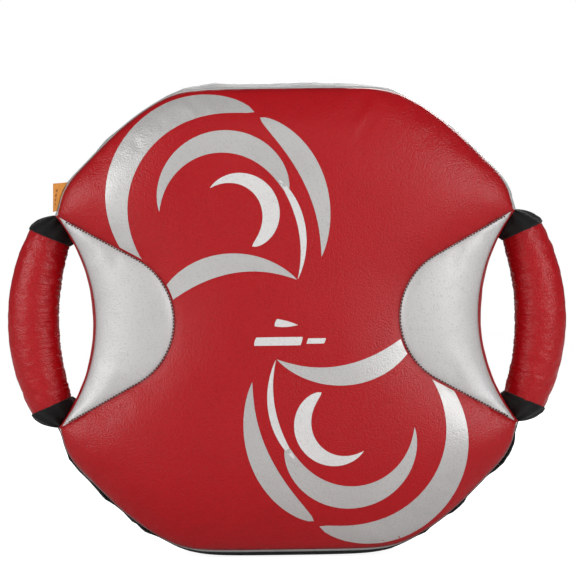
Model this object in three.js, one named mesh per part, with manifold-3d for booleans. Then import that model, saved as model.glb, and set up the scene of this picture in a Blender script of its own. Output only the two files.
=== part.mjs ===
// Round strike shield with a padded handle on each side and holding straps on its back.
// Millimetres, +Z up. The front faces -Y and the shield stands on its flat bottom side at z = 0.
import * as THREE from 'three';
import { mergeVertices } from 'three/addons/utils/BufferGeometryUtils.js';
import Module from 'manifold-3d';

const wasm = await Module();
wasm.setup();

// Clearances and cover thickness
const GAP = 0.3;
const WALL = 2.5;

// Outlines seen from the front: a circle, cut straight at top and bottom, with a hollow at each side.
// waist is the half-width between the hollows and corner the height of their ends above the middle
const FRONT_SEAM = { radius: 233, flat: 213, waist: 176.5, corner: 98 };
const TRIM_EDGE = { radius: 235, flat: 216.5, waist: 179, corner: 98.5 };
const MID = { radius: 236.5, flat: 222, waist: 181.5, corner: 99 };
const BACK_SEAM = { radius: 235, flat: 219, waist: 179.5, corner: 99 };
const FLAT_STEPS = 2;
const ARC_STEPS = 8;
const HOLLOW_STEPS = 12;

// Depths along Y
const FRONT_SEAM_Y = -40;
const TRIM_Y = -34;
const MID_Y = 27;
const BACK_SEAM_Y = 38;
const CROWN = 29;
const CROWN_SCALES = [1, 0.97, 0.88, 0.7, 0.4, 0.05];
const BINDING = { from: 38.4, to: 43.4, inside: -3, outside: 1.5 };
const BACK_FACE = 42.6;
const PANEL_INSIDE = 40.4;

// Silver inset on the front at each hollow: an arc, and straight lines from it to the corners
const INSET_CENTRE_X = 168;
const INSET_RADIUS = 65;

// Foam stack inside the cover, with how far inside its outline each layer stays
const FOAM_FACE_BACK = -34;
const IMPACT_SHEET = { from: -33.6, to: -28, section: FRONT_SEAM, inside: -8 };
const FOAM_CORE = { from: -27.6, to: 27.6, section: MID, inside: -5 };
const BACK_BOARD = { from: 28, to: 38.1, section: BACK_SEAM, inside: -6 };

// Side handles: a bowed padded tube between two fabric cuffs
const HANDLE_BOW_RADIUS = 200;
const HANDLE_BOW_X = 39;
const SLEEVE_ANGLE = 23.4;
const SLEEVE_MID_RADIUS = 24;
const SLEEVE_END_RADIUS = 20.5;
const HANDLE_SIDES = 14;
const HANDLE_STEPS = 12;
const CORE_WEBBING = { width: 20, thickness: 2, angle: 25.4 };
const CORE_SLOT = { width: 26, thickness: 6.4 };
const HANDLE_AXIS_X = 214.5;
const HANDLE_SWING = 30;
// Cuff sections from the sleeve to the corner: inner and outer edge as [x, z], and half the depth
const CUFF_SECTIONS = [
  { inner: [203.3, 72.4], outer: [240.9, 88.7], depth: 20.5 },
  { inner: [198, 77], outer: [243.5, 91.5], depth: 20.5 },
  { inner: [197, 84], outer: [236.5, 99.2], depth: 19 },
  { inner: [199, 90], outer: [226, 101.8], depth: 16 },
  { inner: [200, 95], outer: [216.5, 101.5], depth: 12 },
];

// Woven label sewn into the front seam above the left corner
const LABEL = { x: -208.5, y: -38, z: 115, width: 16, thickness: 1.4, height: 27, lean: 6 };

// Zip across the lower back
const ZIP_Z = -150;
const ZIP_LENGTH = 256;
const ZIP_SLOT_HEIGHT = 10.4;
const TAPE = { length: 272, height: 14, thickness: 1.2, from: 38.6 };
const COIL = { height: 2.3, thickness: 2.2, from: 40.3 };
const SLIDER = { x: 118, length: 11, height: 8.6, wall: 1, top: 44.2 };
const BRIDGE = { length: 7, width: 1.4, clear: 2.3, thickness: 1.1 };
const PULLER = { length: 24, width: 8, thickness: 1.4, hole: [4.4, 5] };

// Forearm strap: an arch over the back, through a ring at its lower end and back over itself
const STRAP_X = -80;
const STRAP_WIDTH = 50;
const WEB = 1.4;
const ARCH_RADIUS = 84.4;
const ARCH_TOP_Y = 84;
const FOOT_LENGTH = 24;
const RING = { inside: 53, bar: 2.8, pitch: 10, turn: 3 };
const PAD = { width: 62, thickness: 8, from: -38, to: 46 };
const TAIL = { to: 12, lift: 4.7 };
const LOOP_PATCH = { width: 40, thickness: 1.2, from: -40, to: 14, lift: 1.6 };
const HOOK_PATCH = { width: 40, thickness: 1.2, from: -34, to: 10, lift: 3.1 };

// Rear grip: a padded tube that bows out from the back
const GRIP_X = 80;
const GRIP_AXIS_Y = 48;
const GRIP_HALF_SPAN = 64;
const GRIP_BOW = 34;
const GRIP_MID_RADIUS = 11;
const GRIP_END_RADIUS = 4;
const GRIP_WALL = 2;
const GRIP_STEPS = 14;
const GRIP_SIDES = 12;
const ANCHOR = { width: 30, height: 28, thickness: 1.6, z: 81 };

const RED = [0xb01c1f, 0.5];
const SILVER = [0xc9c7c4, 0.35];
const BLACK = [0x151515, 0.85];
const FOAM = [0x3a3d42, 0.9];

const shield = new THREE.Group();
const body = new THREE.Group();
body.position.z = MID.flat;
shield.add(body);

const rad = THREE.MathUtils.degToRad;
const v2 = (x, y) => new THREE.Vector2(x, y);
const v3 = (x, y, z) => new THREE.Vector3(x, y, z);

// ---- shared shape functions ----

function put(name, geometry, [color, roughness, metalness = 0]) {
  const material = new THREE.MeshStandardMaterial({ color, roughness, metalness });
  const mesh = new THREE.Mesh(geometry, material);
  mesh.name = name;
  body.add(mesh);
  return mesh;
}

function toManifold(geometry) {
  const bare = geometry.clone();
  bare.deleteAttribute('normal');
  bare.deleteAttribute('uv');
  const merged = mergeVertices(bare, 1e-4);
  return new wasm.Manifold(new wasm.Mesh({
    numProp: 3,
    vertProperties: new Float32Array(merged.attributes.position.array),
    triVerts: new Uint32Array(merged.index.array),
  }));
}

function fromManifold(solid) {
  const mesh = solid.getMesh();
  const geometry = new THREE.BufferGeometry();
  geometry.setAttribute('position', new THREE.BufferAttribute(mesh.vertProperties, 3));
  geometry.setIndex(new THREE.BufferAttribute(mesh.triVerts, 1));
  return geometry;
}

const cut = (geometry, ...tools) => fromManifold(
  tools.reduce((solid, tool) => solid.subtract(toManifold(tool)), toManifold(geometry)),
);
const common = (a, b) => fromManifold(toManifold(a).intersect(toManifold(b)));
const join = (a, b) => fromManifold(toManifold(a).add(toManifold(b)));

// A solid through a row of rings with equal point counts; closed joins the last ring to the first
function loft(rings, closed = false) {
  const count = rings[0].length;
  const points = rings.flat();
  const index = [];
  const last = closed ? rings.length : rings.length - 1;
  for (let r = 0; r < last; r += 1) {
    const a = r * count;
    const b = ((r + 1) % rings.length) * count;
    for (let i = 0; i < count; i += 1) {
      const j = (i + 1) % count;
      index.push(a + i, b + i, b + j, a + i, b + j, a + j);
    }
  }
  if (!closed) {
    const end = (rings.length - 1) * count;
    for (let i = 0; 2 * i < count - 2; i += 1) {
      const across = count - 1 - i;
      for (const [a, b, c] of [[i, i + 1, across], [i + 1, across - 1, across]]) {
        index.push(a, b, c, end + a, end + c, end + b);
      }
    }
  }
  if (volumeOf(points, index) < 0) {
    index.reverse();
  }
  const geometry = new THREE.BufferGeometry().setFromPoints(points);
  geometry.setIndex(index);
  return geometry;
}

function volumeOf(points, index) {
  let volume = 0;
  for (let i = 0; i < index.length; i += 3) {
    const [a, b, c] = [points[index[i]], points[index[i + 1]], points[index[i + 2]]];
    volume += a.dot(b.clone().cross(c)) / 6;
  }
  return volume;
}

// A flat slab of an outline in the XZ plane, between two depths along Y
function slab(shape, from, to) {
  const geometry = new THREE.ExtrudeGeometry(shape, {
    depth: to - from, bevelEnabled: false, curveSegments: 16,
  });
  return geometry.rotateX(Math.PI / 2).translate(0, to, 0);
}

function block(x, y, z, [width, depth, height]) {
  return new THREE.BoxGeometry(width, depth, height).translate(x, y, z);
}

const mirrorX = (geometry) => flipped(geometry, v3(-1, 1, 1));
const mirrorZ = (geometry) => flipped(geometry, v3(1, 1, -1));

function flipped(geometry, scale) {
  const copy = geometry.clone().scale(scale.x, scale.y, scale.z);
  const index = Array.from(copy.index.array).reverse();
  copy.setIndex(index);
  return copy;
}

// ---- the outline ----

// Radius of the hollow that joins the two corners and passes through the waist
function hollowOf({ radius, waist, corner }) {
  const rise = Math.sqrt(radius * radius - corner * corner) - waist;
  return (corner * corner + rise * rise) / (2 * rise);
}

function cornerOf(section, grow = 0) {
  const r = section.radius + grow;
  const hollow = hollowOf(section) - grow;
  const centreX = section.waist + hollowOf(section);
  const x = (r * r - hollow * hollow + centreX * centreX) / (2 * centreX);
  return v2(x, Math.sqrt(r * r - x * x));
}

// Points [x, z] from the bottom middle round the right side, the top and the left side
function outline(section, grow = 0) {
  const r = section.radius + grow;
  const flat = section.flat + grow;
  const hollow = hollowOf(section) - grow;
  const centreX = section.waist + hollowOf(section);
  const corner = cornerOf(section, grow);
  const flatAngle = Math.asin(flat / r);
  const cornerAngle = Math.asin(corner.y / r);
  const hollowAngle = Math.asin(corner.y / hollow);
  const lower = [];
  for (let i = 0; i < FLAT_STEPS; i += 1) {
    lower.push(v2((r * Math.cos(flatAngle) * i) / FLAT_STEPS, -flat));
  }
  for (let i = 0; i < ARC_STEPS; i += 1) {
    const angle = THREE.MathUtils.lerp(-flatAngle, -cornerAngle, i / ARC_STEPS);
    lower.push(v2(r * Math.cos(angle), r * Math.sin(angle)));
  }
  for (let i = 0; i < HOLLOW_STEPS / 2; i += 1) {
    const angle = -hollowAngle * (1 - (2 * i) / HOLLOW_STEPS);
    lower.push(v2(centreX - hollow * Math.cos(angle), hollow * Math.sin(angle)));
  }
  const waist = v2(centreX - hollow, 0);
  const upper = lower.map((p) => v2(p.x, -p.y)).reverse();
  const right = [...lower, waist, ...upper];
  const left = right.slice(1, -1).reverse().map((p) => v2(-p.x, p.y));
  return [...right, ...left];
}

const HALF = 2 * (FLAT_STEPS + ARC_STEPS) + HOLLOW_STEPS;
const AROUND = 2 * HALF;
const CORNER = {
  lowerRight: FLAT_STEPS + ARC_STEPS,
  upperRight: HALF - FLAT_STEPS - ARC_STEPS,
  upperLeft: HALF + FLAT_STEPS + ARC_STEPS,
  lowerLeft: AROUND - FLAT_STEPS - ARC_STEPS,
};

function pointAt(points, position) {
  const whole = Math.floor(position);
  const from = points[((whole % AROUND) + AROUND) % AROUND];
  const to = points[(((whole + 1) % AROUND) + AROUND) % AROUND];
  return from.clone().lerp(to, position - whole);
}

// The cross-section of a wall: [section, grow, y] along its outside and back along its inside
function wallLayers(profile, outside = 0, inside = -WALL) {
  const along = (grow) => profile.map(([section, y]) => [section, grow, y]);
  return [...along(outside), ...along(inside).reverse()];
}

// A curved wall along part of the outline, with the given cross-section
function wallStrip(layers, from, to) {
  const lines = layers.map(([section, grow, y]) => ({ points: outline(section, grow), y }));
  const end = GAP / 10;
  const stops = [from + end];
  for (let i = Math.floor(from) + 1; i < to; i += 1) {
    stops.push(i);
  }
  stops.push(to - end);
  const rings = stops.map((stop) => lines.map(({ points, y }) => {
    const p = pointAt(points, stop);
    return v3(p.x, y, p.y);
  }));
  return loft(rings);
}

const wholeOutline = (section, grow) => new THREE.Shape(outline(section, grow));

// ---- cover ----

const crownDepth = (scale) => CROWN * (1 - scale ** 2.6) ** 0.62;

function crownRing(points, scale, y) {
  return points.map((p) => v3(p.x * scale, y, p.y * scale));
}

// The whole front skin, from the middle of its outer face round the rim to the middle of its inner face
function crownSkin() {
  const rim = FRONT_SEAM_Y - GAP;
  const outer = outline(FRONT_SEAM);
  const inner = outline(FRONT_SEAM, -WALL);
  const outside = CROWN_SCALES.map((s) => crownRing(outer, s, rim - crownDepth(s)));
  const depthRatio = (CROWN - WALL) / CROWN;
  const inside = CROWN_SCALES.map((s) => crownRing(inner, s, rim - crownDepth(s) * depthRatio));
  return loft([...outside.reverse(), ...inside]);
}

function insetShape(grow) {
  const corner = cornerOf(FRONT_SEAM);
  corner.y += 1.5 * grow;
  const radius = INSET_RADIUS + grow;
  const toCorner = v2(corner.x - INSET_CENTRE_X, corner.y);
  const tangent = toCorner.angle() + Math.acos(radius / toCorner.length());
  const shape = new THREE.Shape();
  shape.moveTo(corner.x + 60, -corner.y);
  shape.lineTo(corner.x, -corner.y);
  shape.absarc(INSET_CENTRE_X, 0, radius, -tangent, tangent, true);
  shape.lineTo(corner.x, corner.y);
  shape.lineTo(corner.x + 60, corner.y);
  return shape;
}

function frontCover() {
  const skin = crownSkin();
  const inside = FRONT_SEAM_Y + 10;
  const front = FRONT_SEAM_Y - CROWN - 20;
  const hole = slab(insetShape(GAP / 2), front, inside);
  const inset = common(skin, slab(insetShape(-GAP / 2), front, inside));
  put('front_panel', cut(skin, hole, mirrorIndexed(hole)), RED);
  put('inset_right', inset, SILVER);
  put('inset_left', mirrorX(inset), SILVER);
}

function mirrorIndexed(geometry) {
  const bare = geometry.clone();
  bare.deleteAttribute('normal');
  bare.deleteAttribute('uv');
  return mirrorX(mergeVertices(bare, 1e-4));
}

// Four side panels between the corners; the bottom one is black, with a silver trim at the front seam
function gussets() {
  const back = [[MID, -MID_Y], [MID, MID_Y], [BACK_SEAM, BACK_SEAM_Y]];
  const whole = wallLayers([[FRONT_SEAM, FRONT_SEAM_Y], ...back]);
  const trim = wallLayers([[FRONT_SEAM, FRONT_SEAM_Y], [TRIM_EDGE, TRIM_Y]]);
  const lower = wallLayers([[TRIM_EDGE, TRIM_Y + GAP], ...back]);
  const bottom = [CORNER.lowerLeft - AROUND, CORNER.lowerRight];
  put('gusset_top', wallStrip(whole, CORNER.upperRight, CORNER.upperLeft), SILVER);
  put('gusset_trim', wallStrip(trim, ...bottom), SILVER);
  put('gusset_bottom', wallStrip(lower, ...bottom), BLACK);
  put('gusset_right', wallStrip(whole, CORNER.lowerRight, CORNER.upperRight), RED);
  put('gusset_left', wallStrip(whole, CORNER.upperLeft, CORNER.lowerLeft), RED);
}

function backCover() {
  const slot = block(0, BACK_FACE, ZIP_Z, [ZIP_LENGTH + 8, 20, ZIP_SLOT_HEIGHT]);
  const panel = slab(wholeOutline(BACK_SEAM, BINDING.inside - GAP), PANEL_INSIDE, BACK_FACE);
  put('back_panel', cut(panel, slot), BLACK);
  const { from, to, inside, outside } = BINDING;
  const round = 1.2;
  const rings = [
    [inside, from], [outside, from], [outside + round, from + round], [outside + round, to - round],
    [outside, to], [inside, to],
  ].map(([grow, y]) => outline(BACK_SEAM, grow).map((p) => v3(p.x, y, p.y)));
  put('back_binding', loft(rings, true), BLACK);
}

// ---- inside ----

function foamStack() {
  const ratio = (CROWN - WALL - 2 * GAP) / CROWN;
  const edge = outline(FRONT_SEAM, -WALL - 2);
  const domed = CROWN_SCALES.map((s) => crownRing(edge, s, FRONT_SEAM_Y - crownDepth(s) * ratio));
  const back = [0.98, 0.05].map((s) => crownRing(edge, s, FOAM_FACE_BACK));
  put('foam_face', loft([...domed.reverse(), ...back]), FOAM);
  for (const [name, layer, paint] of [
    ['impact_sheet', IMPACT_SHEET, [0xe8762d, 0.6]],
    ['foam_core', FOAM_CORE, FOAM],
    ['back_board', BACK_BOARD, [0xe6e4de, 0.8]],
  ]) {
    put(name, slab(wholeOutline(layer.section, layer.inside), layer.from, layer.to), paint);
  }
}

// Reinforcement inside each corner, where the handle webbing is sewn in
function cornerPatches() {
  const half = 15;
  const outside = -WALL - GAP;
  const layers = wallLayers([[MID, -half], [MID, half]], outside, outside - 1.6);
  for (const [name, corner] of [
    ['corner_patch_right_lower', CORNER.lowerRight], ['corner_patch_right_upper', CORNER.upperRight],
    ['corner_patch_left_upper', CORNER.upperLeft], ['corner_patch_left_lower', CORNER.lowerLeft],
  ]) {
    put(name, wallStrip(layers, corner - 1.2, corner + 1.8), BLACK);
  }
}

// ---- side handles ----

// A ring round the handle's bowed centre line: an ellipse with the given half-sizes
function handleRing(angle, radial, depth, sides = HANDLE_SIDES) {
  const direction = v3(Math.cos(rad(angle)), 0, Math.sin(rad(angle)));
  const centre = direction.clone().multiplyScalar(HANDLE_BOW_RADIUS).add(v3(HANDLE_BOW_X, 0, 0));
  const ring = [];
  for (let i = 0; i < sides; i += 1) {
    const turn = ((i + 0.5) * 2 * Math.PI) / sides;
    const point = centre.clone().addScaledVector(direction, radial * Math.cos(turn));
    point.y += depth * Math.sin(turn);
    ring.push(point);
  }
  return ring;
}

function handleAngles(limit) {
  return Array.from({ length: HANDLE_STEPS + 1 }, (_, i) => limit * ((2 * i) / HANDLE_STEPS - 1));
}

function sleeveRadius(angle) {
  const bulge = 1 - (angle / SLEEVE_ANGLE) ** 2;
  return SLEEVE_END_RADIUS + (SLEEVE_MID_RADIUS - SLEEVE_END_RADIUS) * bulge;
}

function handleTube(outerInset, innerRadial, innerDepth) {
  const angles = handleAngles(SLEEVE_ANGLE);
  const outer = angles.map((a) => {
    const r = sleeveRadius(a) - outerInset;
    return handleRing(a, r, r);
  });
  const inner = angles.map((a) => handleRing(a, innerRadial(a), innerDepth(a)));
  return loft([...outer, ...inner.reverse()], true);
}

function webbingRun(angle, width, thickness) {
  const corner = Math.SQRT2;
  return loft(handleAngles(angle).map((a) => handleRing(a, (thickness / 2) * corner, (width / 2) * corner, 4)));
}

function cuffRing({ inner, outer, depth }) {
  const a = v3(inner[0], 0, inner[1]);
  const b = v3(outer[0], 0, outer[1]);
  const centre = a.clone().add(b).multiplyScalar(0.5);
  const reach = b.clone().sub(centre);
  const ring = [];
  for (let i = 0; i < HANDLE_SIDES; i += 1) {
    const turn = ((i + 0.5) * 2 * Math.PI) / HANDLE_SIDES;
    const point = centre.clone().addScaledVector(reach, Math.cos(turn));
    point.y = depth * Math.sin(turn);
    ring.push(point);
  }
  return ring;
}

// The cuff stops short of the body at rest and at every angle that the handle swings to
function cuff() {
  const swings = [-1, -0.5, 0, 0.5, 1].map((part) => {
    const prism = slab(wholeOutline(MID, GAP + 0.2), -MID_Y - 20, MID_Y + 20);
    prism.translate(-HANDLE_AXIS_X, 0, 0);
    prism.rotateZ(rad(HANDLE_SWING * part));
    return prism.translate(HANDLE_AXIS_X, 0, 0);
  });
  const slot = webbingRun(CORE_WEBBING.angle + 0.2, CORE_WEBBING.width + 1, CORE_WEBBING.thickness + 1);
  return cut(loft(CUFF_SECTIONS.map(cuffRing)), slot, ...swings);
}

function handles() {
  const wallInside = (a) => sleeveRadius(a) - WALL;
  const sleeve = handleTube(0, wallInside, wallInside);
  const foam = handleTube(WALL + GAP, () => CORE_SLOT.thickness / 2, () => CORE_SLOT.width / 2);
  const webbing = webbingRun(CORE_WEBBING.angle, CORE_WEBBING.width, CORE_WEBBING.thickness);
  const upper = cuff();
  for (const [side, place] of [['right', (g) => g], ['left', mirrorX]]) {
    put(`handle_sleeve_${side}`, place(sleeve), RED);
    put(`handle_foam_${side}`, place(foam), FOAM);
    put(`handle_webbing_${side}`, place(webbing), BLACK);
    put(`cuff_${side}_upper`, place(upper), BLACK);
    put(`cuff_${side}_lower`, mirrorZ(place(upper)), BLACK);
  }
}

function sideLabel() {
  const { x, y, z, width, thickness, height, lean } = LABEL;
  const plate = new THREE.BoxGeometry(width, thickness, height).rotateY(rad(lean)).translate(x, y, z);
  const seamSide = slab(wholeOutline(TRIM_EDGE, GAP), y - thickness, y + thickness);
  put('side_label', cut(plate, seamSide), [0xe9962c, 0.8]);
}

// ---- zip ----

function zip() {
  const tapeY = TAPE.from + TAPE.thickness / 2;
  const coilY = COIL.from + COIL.thickness / 2;
  for (const [name, sign] of [['upper', 1], ['lower', -1]]) {
    const tapeZ = ZIP_Z + sign * (TAPE.height / 2 + 0.5);
    const coilZ = ZIP_Z + sign * (COIL.height / 2 + GAP / 2);
    put(`zip_tape_${name}`, block(0, tapeY, tapeZ, [TAPE.length, TAPE.thickness, TAPE.height]), BLACK);
    put(`zip_coil_${name}`, block(0, coilY, coilZ, [ZIP_LENGTH, COIL.thickness, COIL.height]), BLACK);
  }
  for (const [name, sign] of [['right', 1], ['left', -1]]) {
    const x = sign * (ZIP_LENGTH / 2 + 1.8);
    put(`zip_stop_${name}`, block(x, coilY, ZIP_Z, [2.6, COIL.thickness, 5]), [0x8f8f8f, 0.4, 1]);
  }
  zipSlider();
  zipPuller();
}

// A channel over the two coils, with a bridge on top that holds the puller
function zipSlider() {
  const { x, length, height, wall, top } = SLIDER;
  const bottom = COIL.from + 0.2;
  const ceiling = top - 1.2;
  const outer = block(x, (top + bottom) / 2, ZIP_Z, [length, top - bottom, height]);
  const inside = block(x, bottom, ZIP_Z, [length + 2, 2 * (ceiling - bottom), height - 2 * wall]);
  const reach = BRIDGE.clear + BRIDGE.thickness;
  const arch = block(x, top + reach / 2 - 0.2, ZIP_Z, [BRIDGE.length, reach + 0.4, BRIDGE.width]);
  const under = block(x, top + BRIDGE.clear / 2, ZIP_Z, [BRIDGE.length - 2.2, BRIDGE.clear, 4]);
  put('zip_slider', join(cut(outer, inside), cut(arch, under)), [0x8f8f8f, 0.35, 1]);
}

function zipPuller() {
  const { length, width, thickness, hole } = PULLER;
  const pivotY = SLIDER.top + BRIDGE.clear / 2;
  const shape = new THREE.Shape();
  const end = thickness / 2;
  shape.moveTo(end, -width / 2);
  shape.lineTo(end, width / 2);
  shape.lineTo(end - length + 5, width / 2);
  shape.lineTo(end - length, width / 4);
  shape.lineTo(end - length, -width / 4);
  shape.lineTo(end - length + 5, -width / 2);
  const eye = new THREE.Path();
  eye.moveTo(-end, -hole[1] / 2);
  eye.lineTo(-end - hole[0], -hole[1] / 2);
  eye.lineTo(-end - hole[0], hole[1] / 2);
  eye.lineTo(-end, hole[1] / 2);
  shape.holes.push(eye);
  const puller = put('zip_puller', slab(shape, -thickness / 2, thickness / 2), [0x8f8f8f, 0.35, 1]);
  puller.position.set(SLIDER.x, pivotY, ZIP_Z);
}

// ---- forearm strap ----

const ARCH_Y = ARCH_TOP_Y - ARCH_RADIUS;
const PANEL_LAYER = BACK_FACE + GAP + WEB / 2;
const LOWER_BAR_Y = PANEL_LAYER + RING.turn;
// Angle of the ring's upper bar on the arch, where the ring leaves the arch in line with it
const BAR_RADIUS = ARCH_RADIUS + 0.9;
const BAR_ANGLE = THREE.MathUtils.radToDeg(
  Math.atan(RING.pitch / BAR_RADIUS)
  - Math.acos((LOWER_BAR_Y - ARCH_Y) / Math.hypot(BAR_RADIUS, RING.pitch)),
);

const onArch = (angle, lift = 0) => v2(
  ARCH_Y + (ARCH_RADIUS + lift) * Math.cos(rad(angle)), (ARCH_RADIUS + lift) * Math.sin(rad(angle)),
);

function archRun(from, to, lift, steps) {
  return Array.from({ length: steps + 1 }, (_, i) => onArch(from + ((to - from) * i) / steps, lift));
}

// Half a turn round a bar, from one direction to another
function turnRound(centre, from, to, steps = 6) {
  return Array.from({ length: steps + 1 }, (_, i) => {
    const angle = rad(from + ((to - from) * i) / steps);
    return v2(centre.x + RING.turn * Math.cos(angle), centre.y + RING.turn * Math.sin(angle));
  });
}

// A strip of webbing seen edge-on in the YZ plane, made as wide as the strap along X
function strip(points, thickness, width, x = STRAP_X) {
  const side = (sign) => points.map((p, i) => {
    const before = points[Math.max(i - 1, 0)];
    const after = points[Math.min(i + 1, points.length - 1)];
    const along = after.clone().sub(before).normalize();
    return v2(p.x - along.y * sign * thickness / 2, p.y + along.x * sign * thickness / 2);
  });
  const shape = new THREE.Shape([...side(1), ...side(-1).reverse()]);
  const geometry = new THREE.ExtrudeGeometry(shape, { depth: width, bevelEnabled: false });
  const turn = new THREE.Matrix4().makeBasis(v3(0, 1, 0), v3(0, 0, 1), v3(1, 0, 0));
  return geometry.applyMatrix4(turn).translate(x - width / 2, 0, 0);
}

function forearmStrap() {
  const footAngle = THREE.MathUtils.radToDeg(Math.acos((PANEL_LAYER - ARCH_Y) / ARCH_RADIUS));
  const footZ = onArch(footAngle).y;
  const upperBar = onArch(BAR_ANGLE, BAR_RADIUS - ARCH_RADIUS);
  const band = [
    v2(PANEL_LAYER, footZ + FOOT_LENGTH), v2(PANEL_LAYER, footZ + 3),
    ...archRun(footAngle - 3, BAR_ANGLE + 5, 0, 16),
    ...turnRound(upperBar, BAR_ANGLE - 180, BAR_ANGLE),
  ];
  put('forearm_strap', strip(band, WEB, STRAP_WIDTH), BLACK);
  const padLift = -WEB / 2 - 0.4 - PAD.thickness / 2;
  put('forearm_pad', strip(archRun(PAD.from, PAD.to, padLift, 12), PAD.thickness, PAD.width), BLACK);
  const { lift: loopLift } = LOOP_PATCH;
  const loops = archRun(LOOP_PATCH.from, LOOP_PATCH.to, loopLift, 8);
  put('strap_loop_patch', strip(loops, LOOP_PATCH.thickness, LOOP_PATCH.width), BLACK);
  const hooks = archRun(HOOK_PATCH.from, HOOK_PATCH.to, HOOK_PATCH.lift, 7);
  put('strap_hook_patch', strip(hooks, HOOK_PATCH.thickness, HOOK_PATCH.width), BLACK);
  const tail = archRun(BAR_ANGLE + 2.6, TAIL.to, TAIL.lift, 10);
  put('strap_tail', strip(tail, WEB, STRAP_WIDTH - 4), BLACK);
  const patchY = PANEL_LAYER + WEB + GAP;
  const patch = block(STRAP_X, patchY, footZ + FOOT_LENGTH - 9, [STRAP_WIDTH + 8, WEB, 20]);
  put('strap_patch_upper', patch, BLACK);
  strapRing(upperBar);
}

function strapRing(upperBar) {
  const lowerBar = v2(LOWER_BAR_Y, upperBar.y - RING.pitch * Math.cos(rad(BAR_ANGLE)));
  const half = (RING.pitch + RING.bar) / 2;
  const shape = new THREE.Shape();
  const outsideX = RING.inside / 2 + RING.bar;
  shape.moveTo(-outsideX, -half);
  shape.lineTo(outsideX, -half);
  shape.lineTo(outsideX, half);
  shape.lineTo(-outsideX, half);
  const slot = new THREE.Path();
  const slotHalf = (RING.pitch - RING.bar) / 2;
  slot.moveTo(-RING.inside / 2, -slotHalf);
  slot.lineTo(-RING.inside / 2, slotHalf);
  slot.lineTo(RING.inside / 2, slotHalf);
  slot.lineTo(RING.inside / 2, -slotHalf);
  shape.holes.push(slot);
  const frame = slab(shape, -RING.bar / 2, RING.bar / 2);
  const ring = put('strap_ring', frame, [0x1b1b1b, 0.4]);
  ring.position.set(STRAP_X, (upperBar.x + lowerBar.x) / 2, (upperBar.y + lowerBar.y) / 2);
  ring.rotation.x = rad(BAR_ANGLE);
  const underside = v2(PANEL_LAYER, lowerBar.y - 28);
  const second = PANEL_LAYER + WEB + 0.4;
  const tab = [
    underside, v2(PANEL_LAYER, lowerBar.y - 2), ...turnRound(lowerBar, 180, 0),
    v2(second + 1.2, lowerBar.y - 9), v2(second, lowerBar.y - 16), v2(second, lowerBar.y - 28),
  ];
  put('ring_tab', strip(tab, WEB, STRAP_WIDTH), BLACK);
  const patchY = second + WEB + GAP;
  const patch = block(STRAP_X, patchY, lowerBar.y - 24, [STRAP_WIDTH + 8, WEB, 14]);
  put('ring_tab_patch', patch, BLACK);
}

// ---- rear grip ----

const GRIP_RADIUS = (GRIP_HALF_SPAN ** 2 + GRIP_BOW ** 2) / (2 * GRIP_BOW);
const GRIP_HALF_ANGLE = Math.asin(GRIP_HALF_SPAN / GRIP_RADIUS);

function gripRing(part, radius) {
  const angle = GRIP_HALF_ANGLE * part;
  const outward = v3(0, Math.cos(angle), Math.sin(angle));
  const centre = outward.clone().multiplyScalar(GRIP_RADIUS);
  centre.y += GRIP_AXIS_Y + GRIP_BOW - GRIP_RADIUS;
  centre.x = GRIP_X;
  const ring = [];
  for (let i = 0; i < GRIP_SIDES; i += 1) {
    const turn = (i * 2 * Math.PI) / GRIP_SIDES;
    const point = centre.clone().addScaledVector(outward, radius * Math.cos(turn));
    point.x += radius * Math.sin(turn);
    ring.push(point);
  }
  return ring;
}

function gripRadius(part) {
  const fullness = THREE.MathUtils.smoothstep(1 - Math.abs(part), 0, 0.4);
  return GRIP_END_RADIUS + (GRIP_MID_RADIUS - GRIP_END_RADIUS) * fullness;
}

function rearGrip() {
  const parts = Array.from({ length: GRIP_STEPS + 1 }, (_, i) => (2 * i) / GRIP_STEPS - 1);
  const outer = parts.map((p) => gripRing(p, gripRadius(p)));
  const inner = parts.map((p) => gripRing(p, gripRadius(p) - GRIP_WALL));
  put('rear_grip_cover', loft([...outer, ...inner.reverse()], true), BLACK);
  put('rear_grip_core', loft(parts.map((p) => gripRing(p, gripRadius(p) - GRIP_WALL - GAP))), FOAM);
  const y = BACK_FACE + GAP + ANCHOR.thickness / 2;
  for (const [name, sign] of [['upper', 1], ['lower', -1]]) {
    const plate = block(GRIP_X, y, sign * ANCHOR.z, [ANCHOR.width, ANCHOR.thickness, ANCHOR.height]);
    put(`grip_anchor_${name}`, plate, BLACK);
  }
}

frontCover();
gussets();
backCover();
foamStack();
cornerPatches();
handles();
sideLabel();
zip();
forearmStrap();
rearGrip();

export default shield;
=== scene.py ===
import math
from collections import namedtuple
from contextlib import contextmanager

import bmesh
import bpy
import numpy as np
from mathutils import Matrix, Vector, noise
from mathutils.bvhtree import BVHTree
from mathutils.geometry import delaunay_2d_cdt


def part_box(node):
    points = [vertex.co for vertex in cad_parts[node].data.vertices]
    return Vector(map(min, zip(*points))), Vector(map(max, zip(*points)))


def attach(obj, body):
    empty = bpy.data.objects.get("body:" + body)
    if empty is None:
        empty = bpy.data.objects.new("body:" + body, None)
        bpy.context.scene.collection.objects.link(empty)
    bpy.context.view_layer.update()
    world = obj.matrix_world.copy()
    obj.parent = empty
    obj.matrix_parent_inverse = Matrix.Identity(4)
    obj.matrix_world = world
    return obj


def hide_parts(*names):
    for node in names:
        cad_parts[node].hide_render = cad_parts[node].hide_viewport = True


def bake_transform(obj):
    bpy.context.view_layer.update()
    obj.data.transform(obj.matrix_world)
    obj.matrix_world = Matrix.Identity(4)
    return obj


bl_info = {
    "name": "Round Strike Shield",
    "version": (1, 0, 0),
    "blender": (4, 5, 0),
    "location": "3D View > Sidebar > Shield",
    "description": "Builds the padded cover, handles, straps and zip of a round strike shield",
    "category": "Add Mesh",
}

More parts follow.
